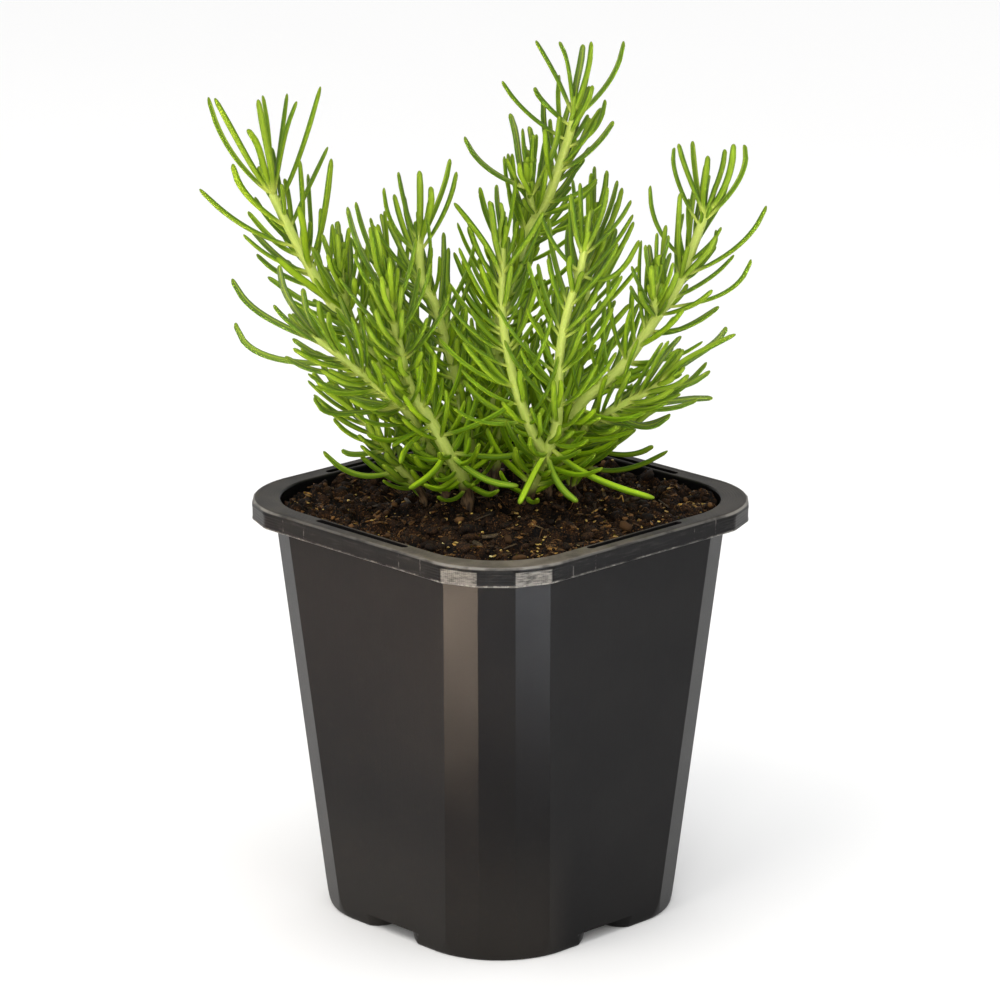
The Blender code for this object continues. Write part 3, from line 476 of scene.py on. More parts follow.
@dataclass(frozen=True)
class FineFoliage:
    """How the finer needles grow, and what shape every needle has.

    tip_ is for the young leaves at a shoot's tip, between_ for the needles between the pairs. sizes, leans
    and widths are the factors between which each varies.

    Attributes:
        low_width: how much wider needles get from low_below down, over the height low_over.
        old_after: how far below the tip a needle is as old as can be.
        inset: how far inside the solids' box the finer needles stay.
        outline: half a needle's section, as (across, towards its underside), in halves of its width.
        taper: rows of (share of its length, share of its width).
    """

    width: float = 0.00182
    widths: tuple = (0.93, 1.05)
    low_width: float = 0.16
    low_below: float = 0.150
    low_over: float = 0.03
    ruled_width: float = 0.88
    old_after: float = 0.075
    inset: float = 0.0009
    reach: float = 0.00080
    gap: float = 0.00008
    tip_reach: float = 0.00060
    tip_levels: int = 3
    tip_start: float = 0.0002
    tip_pitch: float = 0.0013
    tip_wobble: float = 14.0
    tip_sizes: tuple = (0.34, 0.62)
    tip_growth: float = 0.10
    tip_leans: tuple = (0.7, 1.3)
    tip_widths: tuple = (0.62, 0.78)
    between_start: float = 0.0035
    between_pitch: float = 0.0052
    between_twist: float = 41.0
    between_wobble: float = 20.0
    between_sizes: tuple = (0.55, 0.98)
    between_leans: tuple = (0.7, 1.15)
    between_widths: tuple = (0.78, 1.0)
    below_bare: float = 0.004
    tries: tuple = (
        (0, 1.0, 1.0), (22, 0.9, 0.9), (-22, 0.9, 0.8), (0, 0.7, 0.7), (0, 1.3, 0.6), (40, 1.0, 0.5),
    )
    rings: int = 15
    ends: tuple = (0.945, 0.978, 0.995)
    outline: tuple = (
        (0.00, -0.31), (0.20, -0.48), (0.55, -0.55), (0.86, -0.37), (1.00, 0.05), (0.88, 0.50),
        (0.50, 0.73), (0.00, 0.70),
    )
    taper: tuple = (
        (0.0, 0.60), (0.06, 0.66), (0.16, 0.84), (0.30, 0.96), (0.50, 1.0), (0.84, 1.0), (0.92, 0.92),
        (0.96, 0.76), (0.985, 0.50), (1.0, 0.16),
    )
    roll: float = 0.5
    waver: float = 0.0005


FINE = FineFoliage()
NEEDLE_VALUES = ("along", "side", "under", "tint", "age")


def in_metres(value: object) -> object:
    """Turn millimetres into metres, in a number or in rows of them."""
    return tuple(map(in_metres, value)) if isinstance(value, tuple) else value * MM


class Shoot(NamedTuple):
    """One leafy shoot: its route from foot to tip, its thickness at both, and how needles clothe it.

    An aimed needle is a row: its distance below the tip, the point where its own tip lies, and how far its
    middle is drawn aside, if it is. Down to front_bare below the tip, no needle by the rule grows on the
    front. All is in millimetres until metres() turns it into metres.
    """

    route: tuple
    thick: tuple
    bare: float
    phase: float = 0.0
    size: float = 1.0
    front_bare: float = 0.0
    aims: tuple = ()

    def metres(self) -> "Shoot":
        """Give the same shoot in metres."""
        lengths = ("route", "thick", "bare", "front_bare", "aims")
        return self._replace(**{name: in_metres(getattr(self, name)) for name in lengths})


# Leafy stems, each with its side shoots, in millimetres
STEMS = {
    "left_long": (
        Shoot(thick=(4, 2.5), bare=15, phase=12, front_bare=62, route=(
            (-9, -3, 104), (-9, -3, 110), (-9, -3, 115), (-9.7, -1, 119), (-11, 4, 124), (-14.5, 8, 131.5),
            (-19, 8, 140), (-24, 7, 147), (-30.5, 6, 152.5), (-39, 3, 164), (-46.5, 0, 172),
            (-54.5, -4, 185.5), (-61.5, -6, 199.5),
        ), aims=(
            (1.5, -78.1, -11.8, 224.2, -4.9, 0.6, -2.9), (1.5, -76, -3.8, 225.5, 0.5, -0.2, -3.6),
            (1.5, -67.1, 1.2, 217.8, 0.7, -0.7, 2.3), (1.5, -63.4, -7.8, 225.4, 1, 0.2, -0.6),
            (2, -63.8, -0.8, 224.8, 0.7, -0.5, 0), (2, -57, -10.8, 225.5, -0.3, 0.5, -0.8),
            (2, -53.9, -1.8, 224.8, -1.3, -0.4, 3.3), (4, -47.8, -9.5, 227.7, -0.7, 0.4, -8.2),
            (11.5, -46, -9.7, 211.1, -2.5, 0.5, -4.6), (22.5, -44.8, 2.5, 210.5, 1.4, -0.5, -5.2),
            (11, -71, 2.2, 208.8, -5.1, -0.7, -2.3), (17, -80.4, -1.8, 201.2, -2.4, -0.2, -4.5),
            (20, -68, -9.1, 193.5, -1.5, 0.6, -2.8), (24.5, -53.6, 4, 197.5, -0.6, -0.6, -0.1),
            (36, -59.7, -3.9, 181.3, -0.4, 0.5, 0.7), (32.5, -49.4, -4.9, 183.3, -0.5, 0.5, -0.7),
            (84, -24.6, 17.2, 123.3, 3.2, -0.9, -2.6), (85.5, 5.1, 13.9, 123.1, -2.6, -0.6, -4.1),
            (85.5, 8.5, 10.9, 132.9, 2.2, -0.3, -4), (80.5, 3.7, 15.3, 146.8, 1.1, -0.7, -2.7),
            (78, -26.7, 14.2, 129.2, -4.3, -0.6, 1.1), (77, -29, 13.1, 133.9, -1.4, -0.5, 0.2),
        )),
        Shoot(thick=(2.4, 1.7), bare=6, route=(
            (-23, 7, 146), (-25, 11, 153), (-26.5, 15, 161), (-28, 18, 168.5), (-29, 20, 176),
            (-29.5, 21, 182),
        ), aims=(
            (6, -40, 24, 202), (3, -34, 26, 197), (2, -38, 18, 202),
        )),
        Shoot(thick=(1.8, 1.4), bare=5, phase=30, size=0.8, route=(
            (-38, 3, 163), (-39.5, 6, 167), (-41, 9, 173), (-42, 11, 179), (-42, 12, 183),
        )),
    ),
    "tall": (
        Shoot(thick=(3.8, 2.4), bare=16, phase=6, front_bare=40, route=(
            (-2, -18, 104), (-2, -18, 110), (-2, -18, 115), (-1, -17.5, 127.5), (-1, -16, 144.5),
            (0, -14, 162), (3.5, -12, 176.5), (6.5, -11, 185), (10, -10, 192), (13, -9, 197.5),
            (15.5, -8, 205), (18, -8, 213), (19.5, -8, 219),
        ), aims=(
            (0, 9.3, -12, 239.2, -0.2, 0.4, 3.7), (0, 15.5, -5, 240.1, 1.4, -0.3, 5.4),
            (0, 22.1, -11, 238.6, -0.5, 0.3, 1.5), (0, 24, -5, 240.3, 1.4, -0.3, -0.6),
            (0.5, 32.8, -11, 239.4, 5, 0.3, -1.6), (6.5, 0.4, -10, 228.7, -4.7, 0.2, -0.2),
            (2.5, 9.1, -4, 227.9, -3.8, -0.4, 1.5), (8.5, 27.9, -10, 223.7, 4.9, 0.2, -2.7),
            (15.5, 30.2, -6.1, 218.6, 3.3, -0.2, -1.2), (28.5, 26.1, -13, 200.8, -0.2, 0.3, -4.8),
        )),
        Shoot(thick=(2, 1.6), bare=4, phase=10, size=0.8, route=(
            (9.5, -10, 191), (8, -7, 197), (7.5, -5, 201), (7.5, -4, 205),
        ), aims=(
            (5, -9.6, -2.3, 215.2, -5.1, -0.3, -2.7), (5.5, 2.5, -3.6, 221.2, -0.8, -0.2, 1),
            (7.5, 7.5, -3.5, 217.7, 2.2, -0.3, 1.6), (8, 15.6, -4.7, 220.3, 3.8, -0.2, 0.6),
        )),
        Shoot(thick=(2, 1.6), bare=5, phase=20, size=0.85, route=(
            (3.5, -12, 176), (6, -15, 181), (7.5, -19, 187), (8, -22, 194), (8, -23, 198),
        )),
    ),
    "right_long": (
        Shoot(thick=(3.9, 2.4), bare=15, phase=-12, front_bare=62, route=(
            (7, -8, 104), (7, -8, 110), (7, -8, 115), (8.2, -6, 119), (11, -2, 126), (16, 3, 135.5),
            (22.5, 6, 145), (28, 7, 150), (33.5, 7, 155.5), (41.5, 5, 167), (47.5, 3, 176), (52, 0, 187),
            (54.5, -1, 194),
        ), aims=(
            (3.5, 46.4, -3.6, 211.9, -5.5, 0.3, 4.4), (0, 47.2, 3, 214.3, -2, -0.4, 2.8),
            (1, 51.2, -3.9, 213.9, -0.9, 0.3, 0), (0.5, 55, 4.1, 211.3, -0.8, -0.5, 0.7),
            (2, 59.7, -2.8, 211.7, 2, 0.2, 1.9), (0.5, 61.6, 3.1, 214.3, 5.1, -0.4, 1.8),
            (2, 64.8, -4.8, 212.5, 8.4, 0.4, 2.1), (17.5, 70.6, 4.5, 198, 7.9, -0.2, -2.3),
            (27, 66.5, 8.4, 184.3, 9.8, -0.4, -5), (13.5, 39.8, 4.5, 203.4, -6.3, -0.3, -0.6),
            (18, 57.6, -1.4, 190.1, 5, 0.4, -0.3),
        )),
        Shoot(thick=(2, 1.6), bare=4, size=0.8, route=(
            (41.5, 5, 167), (41, 8, 171.5), (41, 10, 176), (41.5, 11, 180.5),
        )),
    ),
    "front": (
        Shoot(thick=(3.6, 2), bare=14, phase=8, front_bare=45, route=(
            (7, 0, 104), (7, 0, 110), (7, 0, 115), (8.2, 3, 119), (10.5, 7, 126.5), (13, 11, 133),
            (15, 12, 139.5), (15.5, 13, 148), (15.5, 14, 156.5), (16.5, 13, 164.5), (18.5, 11, 173),
            (21, 9, 180.5), (22.5, 8, 188),
        ), aims=(
            (58, 4.9, 19.6, 119.6, -1.3, -0.9, -1.5), (58.5, 20.8, 17.4, 119.6, -2.6, -0.7, -3.2),
            (56.5, 41.6, 17.2, 120.6, -3.6, -0.6, -3.6), (54.5, 23.4, 17.6, 137.2, 0.2, -0.6, -4.1),
            (59.5, -3.1, 16.9, 142.3, 5.1, -0.7, 4.4), (2.5, 21.1, 6.3, 204.5, -0.2, 0.2, 0.6),
            (2.5, 28.1, 11.3, 204.5, 2.3, -0.3, 0.2), (3, 34.7, 5.3, 199.6, 2.4, 0.3, -0.7),
            (3, 18.7, 12.3, 202.6, -1.3, -0.4, -0.1), (8, 36.7, 13.1, 190.7, 2.1, -0.4, -10.6),
            (7.5, 10.7, 5, 196.3, -3.2, 0.4, -0.9),
        )),
        Shoot(thick=(3, 1.9), bare=8, phase=60, front_bare=45, route=(
            (12, 10, 131), (8.5, 13, 138), (4.5, 13.5, 149), (2, 11, 159), (0.5, 8, 168), (0.5, 5, 177.5),
            (0.5, 2, 188),
        ), aims=(
            (11, -12.4, 8, 199.5, 2, -0.3, 1.7), (7.5, -2.8, 9, 200.1, -1.2, -0.5, 3.5),
            (7.5, 0.9, 2, 201.1, -1.3, 0.2, 1.1), (9.5, 11.4, 7.6, 196.9, 1, -0.3, -0.2),
        )),
    ),
    "mid_left": (
        Shoot(thick=(3.2, 2.1), bare=14, phase=4, front_bare=30, route=(
            (-7, -13, 104), (-7, -13, 110), (-7, -13, 115), (-9, -10, 132), (-12, -6, 148.5),
            (-15, -3, 159.5), (-17.5, -1, 169.5), (-20.5, 0, 175), (-21.5, 0, 181.5), (-21.5, 0, 189.5),
        ), aims=(
            (6, -30.9, 3, 202.5, -4.6, -0.3, -2.4), (3, -27.2, -3, 205.5, -1.9, 0.3, 0.7),
            (3, -21.5, 2, 206.9, 0.3, -0.2, 0.3), (3, -13.4, -2, 209.3, 2.4, 0.2, 1.4),
            (5.5, -11.7, 4, 207, 4.1, -0.4, 1.7), (4, -18.5, 6, 203.4, 1.4, -0.6, -0.3),
        )),
    ),
    "left_low": (
        Shoot(thick=(3, 1.8), bare=13, phase=12, front_bare=30, route=(
            (-15, -8, 104), (-15, -8, 110), (-15, -8, 115), (-16, -6, 120), (-19, -1, 129), (-23, 5, 138),
            (-28, 11, 146), (-35, 16, 153), (-42.5, 20, 160.5), (-49, 22, 166),
        ), aims=(
            (2, -71.1, 13.6, 180.3, -6.1, 0.8, -2.9), (12, -70.5, 11, 167.7, -12.6, 0.8, -7.3),
            (4.5, -59.5, 24.1, 175.4, -3.8, -0.3, 0.2), (5, -58.3, 17, 184.8, -5.5, 0.4, -0.3),
            (5.5, -51.7, 24.8, 180.2, -4.1, -0.4, 0.8), (8, -48, 17.2, 175.1, -2.3, 0.3, 0.9),
            (10.5, -52.3, 26.5, 164.3, -3.7, -0.7, -1.2), (27, -47.7, 17, 156.5, -3.4, -0.4, -2.3),
            (12, -45.1, 22, 173, -2.8, -0.3, 0.8), (34, -49.6, 13.5, 147.8, -9.5, -0.4, -6.9),
            (33.5, -44.7, 6.8, 149.4, -3.2, 0.3, -2.7),
        )),
    ),
    "right_low": (
        Shoot(thick=(3, 1.8), bare=13, phase=-10, front_bare=25, route=(
            (13, -13, 104), (13, -13, 110), (13, -13, 115), (14.5, -11, 120), (18, -6, 128), (24, 1, 137),
            (31, 7, 143), (38, 12, 148), (44, 16, 153),
        ), aims=(
            (26.5, 45.5, 6.8, 141, 3.3, -0.4, -5.2), (31, 37.6, -3.7, 139.3, 3.1, 0.4, -1.5),
            (39.5, 31.3, 0.7, 134.8, -0.4, -0.5, 1.7), (3.5, 59.8, 19.4, 168.4, 5.1, -0.5, 2.2),
            (13.5, 55, 13.7, 157.5, 3.3, -0.4, -6.3), (21.5, 45.5, 11.5, 142.5, 1.5, -0.6, -7.9),
            (3, 62, 26, 168), (14, 57, 12, 147),
        )),
    ),
    "soil_left": (
        Shoot(thick=(2.4, 1.6), bare=12, size=0.85, route=(
            (-21, -3, 104), (-21, -3, 110), (-21, -3, 115), (-23, 0, 119.5), (-27, 4, 125), (-30.5, 6, 131),
            (-34, 5, 136), (-38, 2, 139), (-42, -2, 142),
        ), aims=(
            (25.5, -47.6, 10.1, 131.9, -3.2, -0.6, -8.2), (16.5, -44.7, 11, 141.2, -2.3, -0.5, -3),
            (18.5, -42.6, 8, 131.5, -3.8, -0.2, -2.5), (23, -33.2, 9, 139.5, -0.5, -0.4, -1.4),
        )),
    ),
    "soil_right": (
        Shoot(thick=(2.4, 1.6), bare=11, size=0.8, route=(
            (20, -18, 104), (20, -18, 110), (20, -18, 115), (22, -20, 119), (26, -23, 123),
            (32, -28, 126.5), (38, -32, 130),
        ), aims=(
            (22.5, 46, -14.2, 125.3, -0.4, -0.6, -6.8), (16.5, 42, -21, 124.8, 4.2, -0.2, -3.9),
        )),
    ),
    "back_left": (
        Shoot(thick=(3.2, 1.9), bare=12, phase=15, route=(
            (-14, -21, 104), (-14, -21, 110), (-14, -21, 115), (-15, -23, 122), (-18, -28, 134),
            (-23, -33, 146), (-28, -37, 158), (-31, -39, 170),
        )),
    ),
    "back_right": (
        Shoot(thick=(3.2, 2), bare=12, phase=35, route=(
            (9, -24, 104), (9, -24, 110), (9, -24, 115), (10, -26, 122), (14, -30, 134), (19, -35, 147),
            (23, -39, 160), (25, -41, 173), (26, -42, 182),
        )),
    ),
    "back_low": (
        Shoot(thick=(2.8, 1.8), bare=11, route=(
            (-3, -27, 104), (-3, -27, 110), (-3, -27, 115), (-3, -30, 119), (-4, -36, 127), (-5, -42, 134),
            (-5, -47, 142),
        )),
    ),
}


@dataclass(frozen=True)
class Habit:
    """How a rosemary shoot carries its needles: the rule that the solids follow too.

    A reach is half a thickness, and the gaps are the room that a needle leaves to others, to those of its own
    stem, to the compost and to the rim. spread, length and pitch are rows of (distance below the tip, value):
    degrees that a needle leans out, its length, and the distance to the next pair.

    Attributes:
        kin_root: how near its root a needle may touch others of its stem.
        rim_reach: how far outside the rim its gap is still kept.
        pushes: how far an aimed needle's tip may be pushed along the view's ray.
        first: the highest pair's distance below the tip.
        low_zone: up to which height over the compost needles are lifted.
        twist: how many degrees a pair turns besides crossing the last.
        uprights: how much of a needle's bend follows the shoot, and how much goes straight up.
        taken: how near an aimed needle's root holds the place.
        facing: how alike its direction has to be.
        tries: what bends a needle out of the way: degrees more, factors on its lean and its length.
    """

    reach: float = 0.00095
    gap: float = 0.0004
    kin_gap: float = 0.0002
    kin_root: float = 0.0065
    soil_gap: float = 0.0028
    rim_gap: float = 0.0022
    rim_reach: float = 0.003
    stem_reach: float = 0.0019
    route_step: float = 0.0005
    line_points: int = 7
    aim_bow: float = 0.30
    pushes: tuple = (0.0, 0.002, -0.002, 0.004, -0.004, 0.006, -0.006, 0.009, -0.009)
    spread: tuple = ((0.0, 8.0), (0.005, 18.0), (0.015, 38.0), (0.030, 54.0), (0.060, 68.0), (0.100, 80.0))
    most_spread: float = 95.0
    length: tuple = (
        (0.0, 0.016), (0.005, 0.020), (0.012, 0.024), (0.030, 0.026), (0.070, 0.024), (0.110, 0.020),
    )
    pitch: tuple = ((0.0, 0.0019), (0.022, 0.0046))
    first: float = 0.001
    sizes: tuple = (0.9, 1.06)
    leans: tuple = (0.88, 1.12)
    low_zone: float = 0.020
    low_lift: float = 0.45
    twist: float = 1.0
    wobble: float = 13.0
    bend: float = 1.35
    uprights: tuple = (0.6, 0.4)
    front_facing: float = 0.80
    taken: float = 0.0026
    facing: float = 0.72
    tries: tuple = (
        (0, 1.0, 1.0), (12, 1.0, 1.0), (-12, 1.0, 1.0), (24, 1.0, 1.0), (-24, 1.0, 1.0), (0, 0.8, 1.0),
        (0, 1.2, 1.0), (38, 1.0, 0.9), (-38, 1.0, 0.9), (0, 0.85, 0.8), (20, 0.9, 0.75), (-20, 0.9, 0.75),
        (0, 1.15, 0.7), (45, 1.0, 0.6), (-45, 1.0, 0.6),
    )


HABIT = Habit()


def smooth_route(points: Sequence[Point]) -> np.ndarray:
    """Give even points on a smooth curve through given ones.

    Args:
        points: the chosen points, from foot to tip.

    Returns:
        One row for each point of the curve.
    """
    knots = np.array(points, float)
    knots = np.vstack([2 * knots[0] - knots[1], knots, 2 * knots[-1] - knots[-2]])
    curve = []
    for a, b, c, d in zip(knots[:-3], knots[1:-2], knots[2:-1], knots[3:]):
        for t in np.linspace(0.0, 1.0, 24, endpoint=False):
            bend = (2 * a - 5 * b + 4 * c - d) * t ** 2 + (3 * b - a - 3 * c + d) * t ** 3
            curve.append(b + 0.5 * ((c - a) * t + bend))
    curve = np.array(curve + [knots[-2]])
    run = np.r_[0.0, np.cumsum(np.linalg.norm(np.diff(curve, axis=0), axis=1))]
    even = np.linspace(0.0, run[-1], max(2, round(run[-1] / HABIT.route_step) + 1))
    return np.stack([np.interp(even, run, curve[:, k]) for k in range(3)], axis=1)


def bent_line(start: np.ndarray, middle: np.ndarray, end: np.ndarray,
              count: int = HABIT.line_points) -> np.ndarray:
    """Give a curve of count points from start to end that leans to middle."""
    t = np.linspace(0.0, 1.0, count)[:, None]
    return (1 - t) ** 2 * start + 2 * t * (1 - t) * middle + t ** 2 * end


def gaps_to_segments(start: np.ndarray, end: np.ndarray, starts: np.ndarray, ends: np.ndarray) -> np.ndarray:
    """Give the distances from one segment to many.

    Args:
        start: the one segment's first point.
        end: its last point.
        starts: the others' first points.
        ends: the others' last points.

    Returns:
        One distance for each of the others.
    """
    one = end - start
    many = ends - starts
    apart = start - starts
    a = one @ one
    b = many @ one
    c = np.einsum("ij,ij->i", many, many)
    d = apart @ one
    e = np.einsum("ij,ij->i", many, apart)
    spread = a * c - b * b
    s = np.clip((b * e - c * d) / np.maximum(spread, 1e-18), 0.0, 1.0)
    t = np.clip((b * s + e) / np.maximum(c, 1e-18), 0.0, 1.0)
    s = np.clip((b * t - d) / max(a, 1e-18), 0.0, 1.0)
    return np.linalg.norm(apart + s[:, None] * one - t[:, None] * many, axis=1)


class Axis:
    """A shoot's centre line, with its direction and a sideways direction at every step."""

    def __init__(self, shoot: Shoot, owner: int) -> None:
        """Trace the route of a shoot of the stem with the number owner.

        Args:
            shoot: the shoot.
            owner: the stem's number.
        """
        self.shoot = shoot
        self.owner = owner
        self.line = smooth_route(shoot.route)
        self.length = (len(self.line) - 1) * HABIT.route_step
        along = np.gradient(self.line, axis=0)
        self.along = along / np.linalg.norm(along, axis=1)[:, None]
        side = unit(np.cross(self.along[0], (0.0, 1.0, 0.001)))
        sides = []
        for direction in self.along:
            side = unit(side - direction * (side @ direction))
            sides.append(side)
        self.sides = np.array(sides)

    def at(self, distance: float) -> tuple[np.ndarray, np.ndarray, np.ndarray]:
        """Give the point, the direction and the sideways direction at a distance from the foot."""
        step = within(round(distance / HABIT.route_step), 0, len(self.line) - 1)
        return self.line[step], self.along[step], self.sides[step]

    def radius(self, distance: float) -> float:
        """Give the stem's radius at a distance from the foot."""
        foot, tip = self.shoot.thick
        return 0.5 * (foot + (tip - foot) * within(distance / self.length))

    def outward(self, distance: float, turn: float) -> np.ndarray:
        """Give the direction out of the shoot at a distance from the foot and at a turn in degrees."""
        _, along, side = self.at(distance)
        return around(side, np.cross(along, side), math.radians(turn))

    def foot_of(self, line: np.ndarray) -> int:
        """Give the number of the point where a needle roots."""
        return int(np.argmin(np.linalg.norm(self.line - line[0], axis=1)))

    def age(self, distance: float) -> float:
        """Give how old a needle is at a distance from the foot."""
        return min(1.0, (self.length - distance) / FINE.old_after)


class Space:
    """The room already taken by stems and needles, as segments with a reach round them."""

    def __init__(self) -> None:
        """Start with nothing taken."""
        self.starts = np.zeros((0, 3))
        self.ends = np.zeros((0, 3))
        self.reach = np.zeros(0)
        self.owner = np.zeros(0, int)

    def take(self, points: np.ndarray, reach: float, owner: int) -> None:
        """Note a line of points as taken.

        Args:
            points: the line.
            reach: half its thickness.
            owner: its stem's number.
        """
        self.starts = np.vstack([self.starts, points[:-1]])
        self.ends = np.vstack([self.ends, points[1:]])
        self.reach = np.r_[self.reach, np.full(len(points) - 1, reach)]
        self.owner = np.r_[self.owner, np.full(len(points) - 1, owner)]

    def has_room(self, points: np.ndarray, owner: int, reach: float = HABIT.reach,
                 gap: float = HABIT.gap) -> bool:
        """Say whether a needle along these points is clear of what is there.

        Args:
            points: the needle's centre line.
            owner: the number of its stem.
            reach: half its thickness.
            gap: the room that it leaves to other stems' needles.

        Returns:
            True where it is clear.
        """
        for start, end in zip(points[1:-1], points[2:]):
            gaps = gaps_to_segments(start, end, self.starts, self.ends) - self.reach - reach
            kin = self.owner == owner
            if (gaps[~kin] < gap).any():
                return False
            rooted = min(np.linalg.norm(start - points[0]), np.linalg.norm(end - points[0])) < HABIT.kin_root
            if not rooted and (gaps[kin] < min(gap, HABIT.kin_gap)).any():
                return False
        return above_pot(points[2:])


def soil_height(x: float, y: float) -> float:
    """Give the compost's height: a low mound with lumps."""
    share = min(math.hypot(x, y) / POT.mouth_half, 1.0)
    lumps = sum(size * math.sin(a * x + b * y + turn) for size, a, b, turn in SOIL_WAVES)
    return SOIL_EDGE + SOIL_MOUND * (1.0 - share * share) + lumps


def above_pot(points: np.ndarray) -> bool:
    """Say whether points are clear above the compost and the rim.

    Args:
        points: the points to test.

    Returns:
        True where all of them are.
    """
    inside, outside = POT.mouth_half - HABIT.reach, POT.rim_half + HABIT.rim_reach
    for point in points:
        x, y, up = to_pot(point)
        far = max(abs(x), abs(y))
        if far < inside and up < soil_height(x, y) + HABIT.soil_gap:
            return False
        if inside <= far < outside and up < POT.height + HABIT.rim_gap:
            return False
    return True


@dataclass
class Needle:
    """One needle as it grew.

    Attributes:
        axis: its shoot.
        line: its centre line.
        width: its width at the widest.
        age: 0 at a shoot's tip, 1 low on an old one.
        tint: a number from 0 to 1 for its own shade.
    """

    axis: Axis
    line: np.ndarray
    width: float = 0.0017
    age: float = 0.3
    tint: float = 0.5


def aimed_line(axis: Axis, aim: tuple, push: float) -> np.ndarray:
    """Give an aimed needle's centre line.

    Args:
        axis: the shoot's centre line.
        aim: the needle's row.
        push: how far its tip is pushed along the view's ray.

    Returns:
        The centre line.
    """
    root, along, _ = axis.at(axis.length - aim[0])
    end = np.array(aim[1:4]) + VIEW_RAY * push
    if len(aim) > 4:
        return bent_line(root, 0.5 * (root + end) + np.array(aim[4:]), end)
    chord = unit(end - root)
    out = unit(chord - along * (chord @ along))
    length = np.linalg.norm(end - root)
    return bent_line(root, root + unit(chord + HABIT.aim_bow * out) * 0.5 * length, end)


def ruled_line(axis: Axis, distance: float, turn: float, lean: float, size: float) -> np.ndarray:
    """Give a needle's centre line by the rule: out from the stem, then bent up along it.

    Args:
        axis: the shoot's centre line.
        distance: how far from its foot the needle roots.
        turn: its direction round the stem, in degrees.
        lean: a factor on how far it leans out.
        size: a factor on its length.

    Returns:
        The centre line.
    """
    root, along, _ = axis.at(distance)
    below = axis.length - distance
    spread = math.radians(min(read_profile(HABIT.spread, below) * lean, HABIT.most_spread))
    low = max(0.0, 1.0 - (root[2] - SOIL_EDGE) / HABIT.low_zone)
    first = unit(around(along, axis.outward(distance, turn), spread) + UP * HABIT.low_lift * low)
    last = unit(first + HABIT.bend * unit(along * HABIT.uprights[0] + UP * HABIT.uprights[1]))
    half = 0.5 * size * read_profile(HABIT.length, below)
    return bent_line(root, root + first * half, root + (first + last) * half)


def ruled_tries(axis: Axis, distance: float, turn: float, lean: float, size: float,
                tries: Sequence[tuple]) -> Iterator[np.ndarray]:
    """Give a needle's centre line by the rule, and then ones that bend it out of the way by each try."""
    for more_turn, more_lean, more_size in tries:
        yield ruled_line(axis, distance, turn + more_turn, lean * more_lean, size * more_size)


def place_taken(line: np.ndarray, axis: Axis, grown: Sequence[Needle]) -> bool:
    """Say whether an aimed needle already holds a needle's place.

    Args:
        line: the needle's centre line.
        axis: its shoot.
        grown: the stem's aimed needles.

    Returns:
        True where one does.
    """
    facing = unit(line[1] - line[0])
    for other in grown:
        near = np.linalg.norm(other.line[0] - line[0]) < HABIT.taken
        if other.axis is axis and near and unit(other.line[1] - other.line[0]) @ facing > HABIT.facing:
            return True
    return False


def faces_front(axis: Axis, distance: float, turn: float) -> bool:
    """Say whether a needle at a distance and a turn would grow on the shoot's bare front."""
    bare = axis.length - distance < axis.shoot.front_bare
    return bare and axis.outward(distance, turn)[1] > HABIT.front_facing


